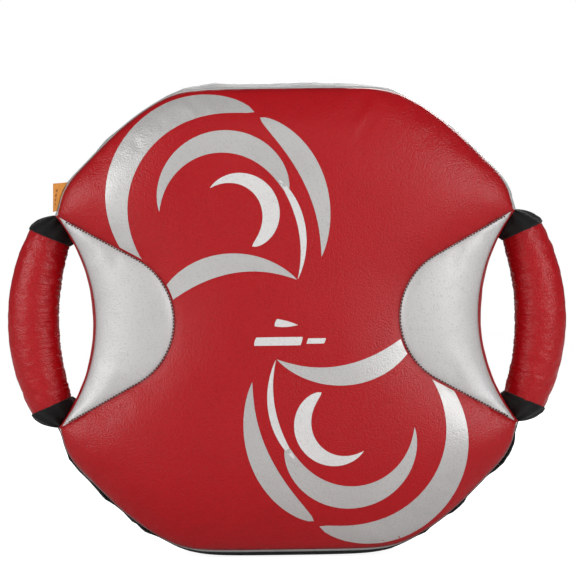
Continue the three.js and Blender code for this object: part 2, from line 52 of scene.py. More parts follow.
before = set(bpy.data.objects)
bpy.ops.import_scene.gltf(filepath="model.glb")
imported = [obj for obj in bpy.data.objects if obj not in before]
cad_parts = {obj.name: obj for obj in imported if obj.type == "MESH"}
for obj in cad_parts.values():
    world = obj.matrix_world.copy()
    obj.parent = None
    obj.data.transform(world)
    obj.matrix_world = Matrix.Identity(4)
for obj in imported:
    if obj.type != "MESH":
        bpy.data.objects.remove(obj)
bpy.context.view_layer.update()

# ---- places and driving sizes ----

# An outline of the shield from the front: a circle cut straight at top and bottom, hollow at each side.
# waist is the half-width between the hollows and corner the height of their ends above the middle.
Section = namedtuple("Section", "radius flat waist corner")
FRONT = Section(0.233, 0.213, 0.1765, 0.098)
MIDDLE = Section(0.2365, 0.222, 0.1815, 0.099)
BACK = Section(0.235, 0.219, 0.1795, 0.099)
FLAT_STEPS, ARC_STEPS, HOLLOW_STEPS = 20, 36, 50
HALF = 2 * (FLAT_STEPS + ARC_STEPS) + HOLLOW_STEPS
AROUND = 2 * HALF
CORNERS = {
    "lower_right": FLAT_STEPS + ARC_STEPS,
    "upper_right": HALF - FLAT_STEPS - ARC_STEPS,
    "upper_left": HALF + FLAT_STEPS + ARC_STEPS,
    "lower_left": AROUND - FLAT_STEPS - ARC_STEPS,
}

SIDES = {1: "right", -1: "left"}
LEVELS = {1: "upper", -1: "lower"}

CENTRE_Z = (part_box("foam_core")[0].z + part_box("foam_core")[1].z) / 2
FRONT_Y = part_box("gusset_top")[0].y
BACK_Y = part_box("gusset_top")[1].y
BACK_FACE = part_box("back_panel")[1].y
TRIM_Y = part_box("gusset_trim")[1].y
WALL_DEPTH = BACK_Y - FRONT_Y
COLUMN_STEP = 0.0047
# Width of the painted shade that darkens the leather along its seams
SEAM_SHADE_WIDTH = 0.0022

INSET_CENTRE_X, INSET_RADIUS = 0.168, 0.065

HANDLE_BOW, HANDLE_BOW_X = 0.200, 0.039
SLEEVE_ANGLE = math.radians(23.6)
SLEEVE_MID, SLEEVE_END = 0.0238, 0.0203


class ShieldSizes(bpy.types.PropertyGroup):
    crown: bpy.props.FloatProperty(
        name="Crown", description="How far the front stands out of its seam", default=0.029, unit="LENGTH")
    shoulder: bpy.props.FloatProperty(
        name="Shoulder", description="Width of the rounded edge of the front", default=0.095, unit="LENGTH")
    skin: bpy.props.FloatProperty(
        name="Skin", description="Thickness of the artificial leather", default=0.0014, unit="LENGTH")
    seam_dip: bpy.props.FloatProperty(
        name="Seam dip", description="How deep a seam draws the cover in", default=0.0016, unit="LENGTH")
    seam_sink: bpy.props.FloatProperty(
        name="Seam sink", description="How far the padding sinks towards the inset seams", default=0.0080,
        unit="LENGTH")
    mesh_pitch: bpy.props.FloatProperty(
        name="Mesh pitch", description="Size of the cover's mesh", default=0.0048, unit="LENGTH")
    stitch_pitch: bpy.props.FloatProperty(
        name="Stitch pitch", description="Distance from one stitch to the next", default=0.0026,
        unit="LENGTH")
    stitch_length: bpy.props.FloatProperty(
        name="Stitch length", description="Length of one stitch", default=0.0017, unit="LENGTH")
    puff: bpy.props.FloatProperty(
        name="Puff", description="Pressure inside the padded cover", default=3.0, min=0.0)


class ShieldColours(bpy.types.PropertyGroup):
    red: bpy.props.FloatVectorProperty(
        name="Red", description="Main artificial leather", default=(0.45, 0.0042, 0.0085), subtype="COLOR")
    silver: bpy.props.FloatVectorProperty(
        name="Silver", description="Insets and top gusset", default=(0.64, 0.63, 0.625), subtype="COLOR")
    black: bpy.props.FloatVectorProperty(
        name="Black", description="Fabric, webbing and grip", default=(0.0045, 0.0042, 0.0042),
        subtype="COLOR")
    ink: bpy.props.FloatVectorProperty(
        name="Ink", description="Printed sweeps", default=(0.60, 0.59, 0.58), subtype="COLOR")
    bright_ink: bpy.props.FloatVectorProperty(
        name="Bright ink", description="Inner printed sweeps", default=(0.86, 0.85, 0.84), subtype="COLOR")
    label: bpy.props.FloatVectorProperty(
        name="Label", description="Woven side label", default=(0.86, 0.33, 0.05), subtype="COLOR")


def sizes():
    return bpy.context.scene.shield_sizes


def colours():
    return bpy.context.scene.shield_colours


# ---- the outline and the front's shape ----

def hollow_of(section):
    rise = math.sqrt(section.radius ** 2 - section.corner ** 2) - section.waist
    return (section.corner ** 2 + rise ** 2) / (2 * rise)


def corner_of(section, grow=0.0):
    radius = section.radius + grow
    hollow = hollow_of(section) - grow
    centre = section.waist + hollow_of(section)
    x = (radius ** 2 - hollow ** 2 + centre ** 2) / (2 * centre)
    return x, math.sqrt(radius ** 2 - x ** 2)


def rim_reach(section, x, z, grow=0.0, soften=55):
    """Distance from the middle to the outline past a point.

    The ends of the straight edges are softened, and the cover is a little fuller beside each corner.
    """
    radius, flat = section.radius + grow, section.flat + grow
    slant = np.abs(z) / np.maximum(np.hypot(x, z), 1e-9)
    turn = np.arcsin(np.minimum(slant, 1.0))
    full = 0.0042 * np.exp(-((turn - 0.56) / 0.11) ** 2) * np.clip((turn - 0.435) / 0.07, 0, 1)
    return radius * (1 + (radius * slant / flat) ** soften) ** (-1 / soften) + full


def outline(section, grow=0.0):
    """Points (x, z above the middle) from the bottom middle round the right side, top and left side."""
    radius, flat = section.radius + grow, section.flat + grow
    hollow = hollow_of(section) - grow
    centre = section.waist + hollow_of(section)
    corner_z = corner_of(section, grow)[1]
    flat_angle, corner_angle = math.asin(flat / radius), math.asin(corner_z / radius)
    hollow_angle = math.asin(corner_z / hollow)
    lower = [(radius * math.cos(flat_angle) * i / FLAT_STEPS, -flat) for i in range(FLAT_STEPS)]
    for i in range(ARC_STEPS):
        a = -flat_angle + (flat_angle - corner_angle) * i / ARC_STEPS
        lower.append((radius * math.cos(a), radius * math.sin(a)))
    lower = [np.array(p) * rim_reach(section, *p, grow) / math.hypot(*p) for p in lower]
    for i in range(HOLLOW_STEPS // 2):
        a = -hollow_angle * (1 - 2 * i / HOLLOW_STEPS)
        lower.append((centre - hollow * math.cos(a), hollow * math.sin(a)))
    upper = [(x, -z) for x, z in reversed(lower)]
    right = [*lower, (centre - hollow, 0.0), *upper]
    left = [(-x, z) for x, z in reversed(right[1:-1])]
    return np.array(right + left)


def edge_distance(x, z, section=FRONT):
    """A smooth distance from the outline inwards, without ridges from its corners."""
    centre = section.waist + hollow_of(section)
    gaps = [rim_reach(section, x, z) - np.hypot(x, z)]
    gaps += [section.flat - z, section.flat + z]
    gaps += [np.hypot(x - side * centre, z) - hollow_of(section) for side in (1, -1)]
    small = 1e-5
    return sum(np.maximum(g, small) ** -4.0 for g in gaps) ** -0.25


def inset_turn():
    """Where the inset seam leaves its round part for the corner: the corner, the angle and its direction."""
    px, pz = corner_of(FRONT)
    reach = math.hypot(px - INSET_CENTRE_X, pz)
    angle = math.atan2(pz, px - INSET_CENTRE_X) + math.acos(INSET_RADIUS / reach)
    return px, pz, angle, math.cos(angle), math.sin(angle)


def inset_distance(x, z):
    """Signed distance from the inset seam, negative on the silver side."""
    _, _, _, nx, nz = inset_turn()
    tx, tz = INSET_CENTRE_X + INSET_RADIUS * nx, INSET_RADIUS * nz
    x, z = np.abs(x), np.abs(z)
    along = (x - tx) * nz - (z - tz) * nx
    straight = (x - tx) * nx + (z - tz) * nz
    bowed = np.hypot(x - INSET_CENTRE_X, z) - INSET_RADIUS
    return np.where(along >= 0, straight, bowed)


def inset_line(side, offset=0.0, step=0.0042):
    """Points along the inset seam from the lower corner to the upper one."""
    px, pz, angle, nx, nz = inset_turn()
    radius = INSET_RADIUS + offset
    start = np.array([px + offset * nx, pz + offset * nz])
    end = np.array([INSET_CENTRE_X + radius * nx, radius * nz])
    count = max(2, round(np.linalg.norm(end - start) / step))
    upper = [start + (end - start) * i / count for i in range(count)]
    turns = max(4, round(radius * 2 * (math.pi - angle) / step))
    arc = []
    for i in range(turns + 1):
        a = angle + 2 * (math.pi - angle) * i / turns
        arc.append(np.array([INSET_CENTRE_X + radius * math.cos(a), radius * math.sin(a)]))
    lower = [p * (1, -1) for p in reversed(upper)]
    return np.array(upper + arc + lower)[::-1] * (side, 1)


def rounded(t):
    return (1 - (1 - np.clip(t, 0, 1)) ** 2.6) ** 0.75


def crown_height(x, z):
    """Height of the padded front over its seam plane."""
    inside = edge_distance(x, z)
    whole = float(edge_distance(np.array(0.0), np.array(0.0)))
    crown = sizes().crown * (0.74 * rounded(inside / sizes().shoulder) + 0.26 * rounded(inside / whole))
    sink = sizes().seam_sink * np.exp(-np.abs(inset_distance(x, z)) / 0.040)
    return crown - sink * np.clip(inside / 0.03, 0, 1)


def soft_noise(points, scale, seed=0.0):
    """Smooth noise from -1 to 1 at each point, for the small unevenness of stuffed covers."""
    shift = Vector((seed, 2.3 * seed, -1.7 * seed))
    return np.array([noise.noise(Vector(p) * scale + shift) for p in points])


# ---- mesh helpers ----

def deselect():
    bpy.ops.object.select_all(action="DESELECT")


def make_active(obj):
    deselect()
    obj.select_set(True)
    bpy.context.view_layer.objects.active = obj


@contextmanager
def edit_mode(action="SELECT"):
    """Edits the active mesh with the mesh operators, with all of it selected or none."""
    bpy.ops.object.mode_set(mode="EDIT")
    bpy.ops.mesh.select_all(action=action)
    yield
    bpy.ops.object.mode_set(mode="OBJECT")


@contextmanager
def mesh_work(obj):
    """A bmesh of the object, written back afterwards."""
    work = bmesh.new()
    work.from_mesh(obj.data)
    yield work
    work.to_mesh(obj.data)
    work.free()


def points_of(obj):
    return np.array([v.co[:] for v in obj.data.vertices])


def taken_apart(obj):
    """The points and faces of a modelled shape that is to be copied many times; the object goes."""
    points, faces = points_of(obj), [tuple(p.vertices) for p in obj.data.polygons]
    bpy.data.objects.remove(obj)
    return points, faces


def new_object(name, points, faces, uvs=None, attributes=None):
    """A mesh object in place, smooth shaded, with an optional UV in metres and point attributes."""
    mesh = bpy.data.meshes.new(name)
    mesh.from_pydata([tuple(p) for p in points], [], [tuple(f) for f in faces])
    mesh.validate()
    if uvs is not None:
        layer = mesh.uv_layers.new(name="UVMap")
        index = np.zeros(len(mesh.loops), np.int32)
        mesh.loops.foreach_get("vertex_index", index)
        layer.data.foreach_set("uv", np.asarray(uvs, np.float32)[index].ravel())
    for key, values in (attributes or {}).items():
        attribute = mesh.attributes.new(key, "FLOAT", "POINT")
        attribute.data.foreach_set("value", np.asarray(values, np.float32))
    mesh.polygons.foreach_set("use_smooth", [True] * len(mesh.polygons))
    obj = bpy.data.objects.new(name, mesh)
    bpy.context.scene.collection.objects.link(obj)
    return obj


def apply_modifier(obj, kind, **values):
    make_active(obj)
    modifier = obj.modifiers.new(kind.title(), kind)
    for key, value in values.items():
        setattr(modifier, key, value)
    bpy.ops.object.modifier_apply(modifier=modifier.name)


def thicken(obj, thickness):
    """Gives a skin its thickness on the inside, with its edge closed."""
    apply_modifier(obj, "SOLIDIFY", thickness=thickness, offset=-1.0, use_even_offset=False)


def face_outwards(obj, outward):
    """Turns the whole mesh over if its faces point against outward(centre)."""
    mesh = obj.data
    agree = sum(p.normal.dot(outward(p.center)) * p.area for p in mesh.polygons)
    if agree < 0:
        mesh.flip_normals()


def closed_outwards(obj):
    """Turns a closed mesh over if its volume is negative."""
    with mesh_work(obj) as work:
        if work.calc_volume(signed=True) < 0:
            bmesh.ops.reverse_faces(work, faces=work.faces)


def grid_faces(rows, columns, wrap_rows=False, wrap_columns=False):
    faces = []
    for r in range(rows if wrap_rows else rows - 1):
        for c in range(columns if wrap_columns else columns - 1):
            s, d = (r + 1) % rows, (c + 1) % columns
            faces.append((r * columns + c, s * columns + c, s * columns + d, r * columns + d))
    return faces


def capped_faces(rows, around):
    """The faces of a closed strip: its sides and both ends."""
    ends = [tuple(range(around)), tuple((rows - 1) * around + k for k in reversed(range(around)))]
    return grid_faces(rows, around, False, True) + ends


def finish_piece(obj, body, material, stands_for=()):
    """Gives a finished piece its material and body, and hides the CAD nodes that it stands for."""
    obj.data.materials.clear()
    obj.data.materials.append(material)
    if body:
        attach(obj, body)
    if stands_for:
        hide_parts(*stands_for)
    return obj


def surface_of(*names):
    """The outer surface of finished pieces, to lay stitches and prints on."""
    points, faces = [], []
    for name in names:
        mesh = bpy.data.objects[name].data
        start = len(points)
        points += [v.co.copy() for v in mesh.vertices]
        faces += [[start + i for i in p.vertices] for p in mesh.polygons]
    return BVHTree.FromPolygons(points, faces)


def on_front(tree, x, z):
    """The point and outward normal of the front at x and z above the middle."""
    hit, normal, _, _ = tree.ray_cast(Vector((x, -0.3, CENTRE_Z + z)), Vector((0, 1, 0)))
    if hit is None:
        raise RuntimeError(f"the front has no surface at {x:.3f}, {z:.3f}")
    return hit, normal if normal.y < 0 else -normal


# ---- stitches ----

def stitch_shape():
    """One stitch: a short soft capsule along X, modelled once and copied for every row."""
    deselect()
    bpy.ops.mesh.primitive_uv_sphere_add(segments=6, ring_count=5, radius=0.5)
    obj = bpy.context.object
    with edit_mode():
        bpy.ops.transform.rotate(value=math.pi / 2, orient_axis="Y", center_override=(0, 0, 0))
    points, faces = taken_apart(obj)
    points[:, 0] = np.sign(points[:, 0]) * np.abs(points[:, 0]) ** 0.6
    points[:, 0] *= 0.5 / np.abs(points[:, 0]).max()
    return points, faces


def resample(points, pitch, start=0.5):
    """Points a pitch apart along a line, with their directions."""
    points = np.asarray(points, float)
    lengths = np.linalg.norm(np.diff(points[:, :3], axis=0), axis=1)
    along = np.concatenate([[0], np.cumsum(lengths)])
    count = max(1, int(along[-1] / pitch))
    stops = (np.arange(count) + start) * along[-1] / count
    centre = np.stack([np.interp(stops, along, points[:, k]) for k in range(points.shape[1])], 1)
    ahead = np.stack([np.interp(stops + 1e-4, along, points[:, k]) for k in range(points.shape[1])], 1)
    behind = np.stack([np.interp(stops - 1e-4, along, points[:, k]) for k in range(points.shape[1])], 1)
    direction = ahead - behind
    return centre, direction / np.linalg.norm(direction, axis=1)[:, None]


def stitch_row(name, line, normals, body, material, pitch=None, length=None, width=0.00062):
    """A row of stitches along a 3D line; normals is one vector, or one for each point of the line."""
    line = np.asarray(line, float)
    normals = np.broadcast_to(np.asarray(normals, float), line.shape)
    centre, direction = resample(np.hstack([line, normals]), pitch or sizes().stitch_pitch)
    shape, shape_faces = stitch_shape()
    points, faces = [], []
    for here, ahead in zip(centre, direction):
        up = Vector(here[3:]).normalized()
        x = Vector(ahead[:3]).normalized()
        y = up.cross(x).normalized()
        start = len(points)
        for a, b, c in shape:
            offset = x * (a * (length or sizes().stitch_length)) + y * (b * width) + up * (c * width * 0.9)
            points.append(Vector(here[:3]) + offset + up * (width * 0.18))
        faces += [[start + i for i in f] for f in shape_faces]
    obj = new_object(name, points, faces)
    closed_outwards(obj)
    return finish_piece(obj, body, material)


# ---- shader building ----

class Shader:
    """Lays down shader nodes and links them, in a material or a node group."""

    def __init__(self, tree):
        self.tree = tree

    def add(self, kind, inputs=None, **settings):
        node = self.tree.nodes.new("ShaderNode" + kind)
        for key, value in settings.items():
            setattr(node, key, value)
        for key, value in (inputs or {}).items():
            self.feed(node.inputs[key], value)
        return node

    def feed(self, socket, value):
        if isinstance(value, bpy.types.NodeSocket):
            self.tree.links.new(value, socket)
        else:
            socket.default_value = value

    def math(self, operation, a, b=0.0, c=0.0):
        return self.add("Math", {0: a, 1: b, 2: c}, operation=operation).outputs[0]

    def spread(self, value, low, high, to_low=0.0, to_high=1.0):
        inputs = {"Value": value, "From Min": low, "From Max": high, "To Min": to_low, "To Max": to_high}
        return self.add("MapRange", inputs).outputs[0]

    def mix(self, factor, a, b, blend="MIX"):
        node = self.add("Mix", {0: factor, 6: a, 7: b}, data_type="RGBA", blend_type=blend)
        return node.outputs[2]

    def split(self, vector):
        return self.add("SeparateXYZ", {0: vector}).outputs

    def noise(self, vector, scale, detail=2.0, roughness=0.5):
        inputs = {"Vector": vector, "Scale": scale, "Detail": detail, "Roughness": roughness}
        return self.add("TexNoise", inputs).outputs["Fac"]

    def group(self, name, **values):
        node = self.add("Group", node_tree=GROUPS[name]())
        for key, value in values.items():
            self.feed(node.inputs[key.replace("_", " ")], value)
        return node.outputs


def node_group(name, inputs, outputs):
    """Builds a shader node group once, from a function that gives its outputs, and then finds it."""
    def wrap(build):
        def get():
            if name not in bpy.data.node_groups:
                tree = bpy.data.node_groups.new(name, "ShaderNodeTree")
                add_socket = tree.interface.new_socket
                add_socket(name="Vector", in_out="INPUT", socket_type="NodeSocketVector")
                for label, value in inputs.items():
                    socket = add_socket(name=label, in_out="INPUT", socket_type="NodeSocketFloat")
                    socket.default_value = value
                for label in outputs:
                    add_socket(name=label, in_out="OUTPUT", socket_type="NodeSocketFloat")
                s = Shader(tree)
                given, out = tree.nodes.new("NodeGroupInput"), tree.nodes.new("NodeGroupOutput")
                for label, value in zip(outputs, build(s, given.outputs)):
                    s.feed(out.inputs[label], value)
            return bpy.data.node_groups[name]
        return get
    return wrap


@node_group("Leather grain", {"Pebble": 0.0013}, ("Height", "Crease"))
def leather_grain(s, given):
    """Pebbled grain of pressed artificial leather: a height, and a mask of the creases between pebbles."""
    scale = s.math("DIVIDE", 1.0, given["Pebble"])
    warp = s.add("TexNoise", {"Vector": given["Vector"], "Scale": s.math("MULTIPLY", scale, 0.45)})
    pushed = s.add("VectorMath", {0: warp.outputs["Color"], 1: (-0.5, -0.5, -0.5)}, operation="ADD")
    reach = s.math("MULTIPLY", given["Pebble"], 1.1)
    drift = s.add("VectorMath", {0: pushed.outputs[0], "Scale": reach}, operation="SCALE")
    place = s.add("VectorMath", {0: given["Vector"], 1: drift.outputs[0]}, operation="ADD")
    cells = s.add("TexVoronoi", {"Vector": place.outputs[0], "Scale": scale}, feature="F1")
    edge = s.spread(cells.outputs["Distance"], 0.25, 0.85, 1.0, 0.0)
    fine = s.noise(given["Vector"], s.math("MULTIPLY", scale, 2.6), 1.0)
    height = s.math("ADD", edge, s.math("MULTIPLY", fine, 0.25))
    return height, s.spread(cells.outputs["Distance"], 0.55, 0.95)


@node_group("Plain weave", {"Pitch": 0.0009}, ("Height", "Shade"))
def plain_weave(s, given):
    """Over-and-under weave along the vector's X and Y: a height, and painted shade for the threads that dip.
    """
    x, y, _ = s.split(given["Vector"])
    turn = s.math("DIVIDE", math.pi, given["Pitch"])
    across = s.math("SINE", s.math("MULTIPLY", x, turn))
    along = s.math("SINE", s.math("MULTIPLY", y, turn))
    over = s.math("GREATER_THAN", s.math("MULTIPLY", across, along), 0.0)
    wide, long = s.math("ABSOLUTE", across), s.math("ABSOLUTE", along)
    height = s.math("ADD", long, s.math("MULTIPLY", s.math("SUBTRACT", wide, long), over))
    return height, s.spread(height, 0.1, 0.8, 0.62, 1.0)


@node_group("Webbing ribs", {"Rib": 0.0022}, ("Height", "Shade"))
def webbing_ribs(s, given):
    """Herringbone ribs of woven webbing, with the vector's X across and Y along the strap: a height, and
    painted shade in the valleys.
    """
    x, y, _ = s.split(given["Vector"])
    across = s.math("DIVIDE", x, given["Rib"])
    along = s.math("DIVIDE", y, given["Rib"])
    zigzag = s.math("PINGPONG", across, 1.0)
    twill = s.math("MULTIPLY", s.math("ADD", s.math("MULTIPLY", along, 1.6), zigzag), math.pi * 2)
    threads = s.math("ABSOLUTE", s.math("SINE", twill))
    valley = s.spread(s.math("PINGPONG", across, 0.5), 0.0, 0.16)
    height = s.math("MULTIPLY", s.math("ADD", 0.5, s.math("MULTIPLY", threads, 0.5)), valley)
    return height, s.spread(height, 0.0, 0.8, 0.55, 1.0)


@node_group("Handling marks", {"Size": 0.06, "Amount": 0.5}, ("Shade", "Polish"))
def handling_marks(s, given):
    """Soft unevenness from use: a shade for the colour, and a polish for the roughness."""
    scale = s.math("DIVIDE", 1.0, given["Size"])
    broad = s.noise(given["Vector"], scale, 3.0, 0.6)
    small = s.noise(given["Vector"], s.math("MULTIPLY", scale, 9.0), 3.0, 0.65)
    both = s.math("ADD", s.math("MULTIPLY", broad, 0.7), s.math("MULTIPLY", small, 0.3))
    centred = s.math("MULTIPLY", s.math("SUBTRACT", both, 0.5), given["Amount"])
    return s.math("ADD", 1.0, centred), centred


@node_group("Dust film", {"Amount": 0.2}, ("Mask",))
def dust_film(s, given):
    """Pale dust that settles in specks: a mask that is 0 where the surface is clean."""
    clouds = s.spread(s.noise(given["Vector"], 26.0, 4.0, 0.6), 0.42, 0.75)
    specks = s.spread(s.noise(given["Vector"], 900.0, 2.0, 0.7), 0.60, 0.74)
    both = s.math("ADD", s.math("MULTIPLY", clouds, 0.35), s.math("MULTIPLY", specks, 0.65))
    return (s.math("MULTIPLY", both, given["Amount"]),)


GROUPS = {
    "grain": leather_grain, "weave": plain_weave, "ribs": webbing_ribs,
    "handling": handling_marks, "dust": dust_film,
}


def new_material(name):
    """A material with a bare Principled surface, its shader helper, the surface and object coordinates."""
    material = bpy.data.materials.new(name)
    material.use_nodes = True
    material.node_tree.nodes.clear()
    s = Shader(material.node_tree)
    surface = s.add("BsdfPrincipled")
    s.add("OutputMaterial", {"Surface": surface.outputs[0]})
    return material, s, surface, s.add("TexCoord").outputs["Object"]


def paint(s, surface, colour, roughness, height=None, distance=0.0, strength=1.0, fixed=()):
    """Feeds a surface its colour, roughness and bump; fixed values go straight on its own sockets."""
    s.feed(surface.inputs["Base Color"], colour)
    s.feed(surface.inputs["Roughness"], roughness)
    for key, value in dict(fixed).items():
        surface.inputs[key].default_value = value
    if height is None:
        return None
    bump = s.add("Bump", {"Height": height, "Distance": distance, "Strength": strength}).outputs[0]
    s.feed(surface.inputs["Normal"], bump)
    return bump


def colour4(colour):
    return (*colour[:3], 1.0)


def tinted(s, colour, shade):
    """The colour times a shade value."""
    grey = s.add("CombineColor", {0: shade, 1: shade, 2: shade})
    return s.mix(1.0, colour4(colour), grey.outputs[0], "MULTIPLY")


def kept(build):
    """Each material is built once and then found again by its name."""
    def get(name, *args, **values):
        if name not in bpy.data.materials:
            build(name, *args, **values)
        return bpy.data.materials[name]
    return get


@kept
def leather(name, colour, pebble=0.0015, relief=0.00017, roughness=0.37, metallic=0.0, wrinkle=0.0,
            shine=0.34, seam_shade_strength=0.22):
    """Artificial leather: pressed grain with painted shade in its creases, handling marks, painted shade along
    the seams and, on bent parts, fine wrinkles.
    """
    material, s, surface, place = new_material(name)
    grain = s.group("grain", Vector=place, Pebble=pebble)
    marks = s.group("handling", Vector=place, Size=0.07, Amount=0.22)
    # Painted shade along the seams: the seam attribute darkens the colour where the cover dips
    seam = s.add("Attribute", attribute_name="seam").outputs["Fac"]
    # Painted shade in the creases between the grain's pebbles
    crease = s.math("MULTIPLY", grain["Crease"], 0.16)
    shade = s.math("SUBTRACT", marks["Shade"], s.math("ADD", crease, s.math("MULTIPLY", seam, seam_shade_strength)))
    dust = s.group("dust", Vector=place, Amount=0.005)
    dull = s.math("MULTIPLY", grain["Crease"], 0.12)
    rough = s.math("ADD", s.math("ADD", roughness, marks["Polish"]), dull)
    bump = paint(s, surface, s.mix(dust["Mask"], tinted(s, colour, shade), (0.55, 0.52, 0.50, 1)), rough,
                 grain["Height"], relief, fixed={"Metallic": metallic, "Specular IOR Level": shine})
    if wrinkle:
        curve = s.add("Attribute", attribute_name="bend").outputs["Fac"]
        flow = s.add("UVMap").outputs[0]
        squeezed = s.add("Mapping", {"Vector": flow, "Scale": (22.0, 210.0, 1.0)}).outputs[0]
        folds = s.noise(squeezed, 1.0, 3.0, 0.55)
        height = s.math("MULTIPLY", s.spread(folds, 0.35, 0.65), curve)
        fold = s.add("Bump", {"Height": height, "Distance": wrinkle, "Strength": 0.8, "Normal": bump})
        s.feed(surface.inputs["Normal"], fold.outputs[0])
    return material


@kept
def cloth(name, colour, pitch, by_uv=False):
    """Plain woven cloth in dark yarn, a little dusty."""
    material, s, surface, place = new_material(name)
    if by_uv:
        flat = s.add("UVMap").outputs[0]
    else:
        x, y, z = s.split(place)
        flat = s.add("CombineXYZ", {0: s.math("ADD", x, s.math("MULTIPLY", y, 0.73)), 1: z}).outputs[0]
    weave = s.group("weave", Vector=flat, Pitch=pitch)
    marks = s.group("handling", Vector=place, Size=0.04, Amount=0.5)
    # The weave's shade darkens the threads that dip: painted shade
    base = tinted(s, colour, s.math("MULTIPLY", weave["Shade"], marks["Shade"]))
    film = s.group("dust", Vector=place, Amount=0.08)
    paint(s, surface, s.mix(film["Mask"], base, (0.32, 0.31, 0.30, 1)), s.math("ADD", 0.86, marks["Polish"]),
          weave["Height"], 0.00025, 0.7,
          {"Sheen Weight": 0.08, "Sheen Roughness": 0.5, "Specular IOR Level": 0.3})
    return material


@kept
def strap_weave(name, colour):
    """Herringbone webbing, its ribs along the strap's own length."""
    material, s, surface, place = new_material(name)
    ribs = s.group("ribs", Vector=s.add("UVMap").outputs[0], Rib=0.0022)
    marks = s.group("handling", Vector=place, Size=0.03, Amount=0.4)
    # The ribs' shade darkens their valleys: painted shade
    base = tinted(s, colour, s.math("MULTIPLY", ribs["Shade"], marks["Shade"]))
    film = s.group("dust", Vector=place, Amount=0.08)
    paint(s, surface, s.mix(film["Mask"], base, (0.30, 0.29, 0.28, 1)), s.math("ADD", 0.7, marks["Polish"]),
          ribs["Height"], 0.0004, 0.8, {"Sheen Weight": 0.15})
    return material


@kept
def thread(name, colour):
    """Twisted sewing thread: fine slanting plies on each stitch, with painted shade between them."""
    material, s, surface, place = new_material(name)
    x, y, z = s.split(place)
    slant = s.math("ADD", s.math("ADD", x, z), s.math("MULTIPLY", y, 0.6))
    ply = s.math("SINE", s.math("MULTIPLY", slant, 2 * math.pi / 0.0006))
    marks = s.group("handling", Vector=place, Size=0.02, Amount=0.4)
    # Painted shade in the grooves between the plies
    shade = s.math("MULTIPLY", s.spread(ply, -1.0, 1.0, 0.78, 1.0), marks["Shade"])
    paint(s, surface, tinted(s, colour, shade), s.math("ADD", 0.55, marks["Polish"]), ply, 0.00008, 0.6)
    return material


@kept
def print_ink(name, colour):
    """Printed film over the grain, a little metallic, with worn pin-holes where it has been struck."""
    material, s, surface, place = new_material(name)
    grain = s.group("grain", Vector=place, Pebble=0.0015)
    marks = s.group("handling", Vector=place, Size=0.05, Amount=0.16)
    # Painted shade in the grain's creases under the print
    shade = s.math("SUBTRACT", marks["Shade"], s.math("MULTIPLY", grain["Crease"], 0.10))
    worn = s.spread(s.noise(place, 1300.0, 2.0, 0.7), 0.66, 0.72)
    paint(s, surface, s.mix(worn, tinted(s, colour, shade), colour4(colours().red)),
          s.math("ADD", 0.40, marks["Polish"]), grain["Height"], 0.00010)
    s.feed(surface.inputs["Metallic"], s.spread(worn, 0.0, 1.0, 0.35, 0.0))
    return material


@kept
def woven_label(name, colour):
    """Satin-woven label: fine twill, with a row of plain dark woven bars."""
    material, s, surface, _ = new_material(name)
    x, y, _ = s.split(s.add("UVMap").outputs[0])
    twill = s.math("SINE", s.math("MULTIPLY", s.math("ADD", x, y), 2 * math.pi / 0.0007))
    stripe = s.math("LESS_THAN", s.math("ABSOLUTE", s.math("SUBTRACT", x, 0.0022)), 0.0016)
    inside = s.math("LESS_THAN", s.math("ABSOLUTE", s.math("SUBTRACT", y, 0.0140)), 0.0080)
    bars = s.math("GREATER_THAN", s.math("PINGPONG", y, 0.0022), 0.0007)
    mark = s.math("MULTIPLY", s.math("MULTIPLY", s.math("MULTIPLY", stripe, inside), bars), 0.7)
    # Painted shade in the grooves of the twill
    plain = tinted(s, colour, s.spread(twill, -1.0, 1.0, 0.86, 1.0))
    paint(s, surface, s.mix(mark, plain, (0.24, 0.06, 0.010, 1)), s.spread(twill, -1.0, 1.0, 0.62, 0.48),
          twill, 0.00008, 0.6)
    return material


@kept
def foam_cells(name, colour, cell=0.0011, roughness=0.9):
    """Closed-cell foam as cut: small round cells, painted darker in their hollows as shade, and a slight
    bloom.
    """
    material, s, surface, place = new_material(name)
    cells = s.add("TexVoronoi", {"Vector": place, "Scale": 1 / cell}, feature="F1")
    pit = s.spread(cells.outputs["Distance"], 0.1, 0.6)
    marks = s.group("handling", Vector=place, Size=0.05, Amount=0.4)
    # Painted shade in the hollows of the cells
    shade = s.math("MULTIPLY", s.spread(pit, 0.0, 1.0, 0.72, 1.05), marks["Shade"])
    rough = s.math("ADD", roughness, s.math("MULTIPLY", marks["Polish"], 0.3))
    paint(s, surface, tinted(s, colour, shade), rough, pit, 0.0003, 0.6)
    return material


@kept
def hard_stuff(name, colour, roughness, metallic=0.0, scratch=0.25):
    """Moulded plastic or plated metal: fine tooling texture, scratches and a little dust."""
    material, s, surface, place = new_material(name)
    marks = s.group("handling", Vector=place, Size=0.012, Amount=0.5)
    drawn = s.add("Mapping", {"Vector": place, "Scale": (300.0, 2600.0, 900.0)}).outputs[0]
    lines = s.spread(s.noise(drawn, 1.0, 2.0, 0.6), 0.58, 0.70)
    base = tinted(s, colour, marks["Shade"])
    rubbed = s.mix(s.math("MULTIPLY", lines, scratch), base, (0.42, 0.41, 0.40, 1))
    film = s.group("dust", Vector=place, Amount=0.12)
    rough = s.math("ADD", s.math("ADD", roughness, s.math("MULTIPLY", marks["Polish"], 0.5)),
                   s.math("MULTIPLY", lines, 0.12))
    height = s.math("SUBTRACT", s.noise(place, 2200.0, 2.0, 0.6), s.math("MULTIPLY", lines, 0.6))
    paint(s, surface, s.mix(film["Mask"], rubbed, (0.36, 0.35, 0.34, 1)), rough, height, 0.00006, 0.6,
          {"Metallic": metallic})
    return material


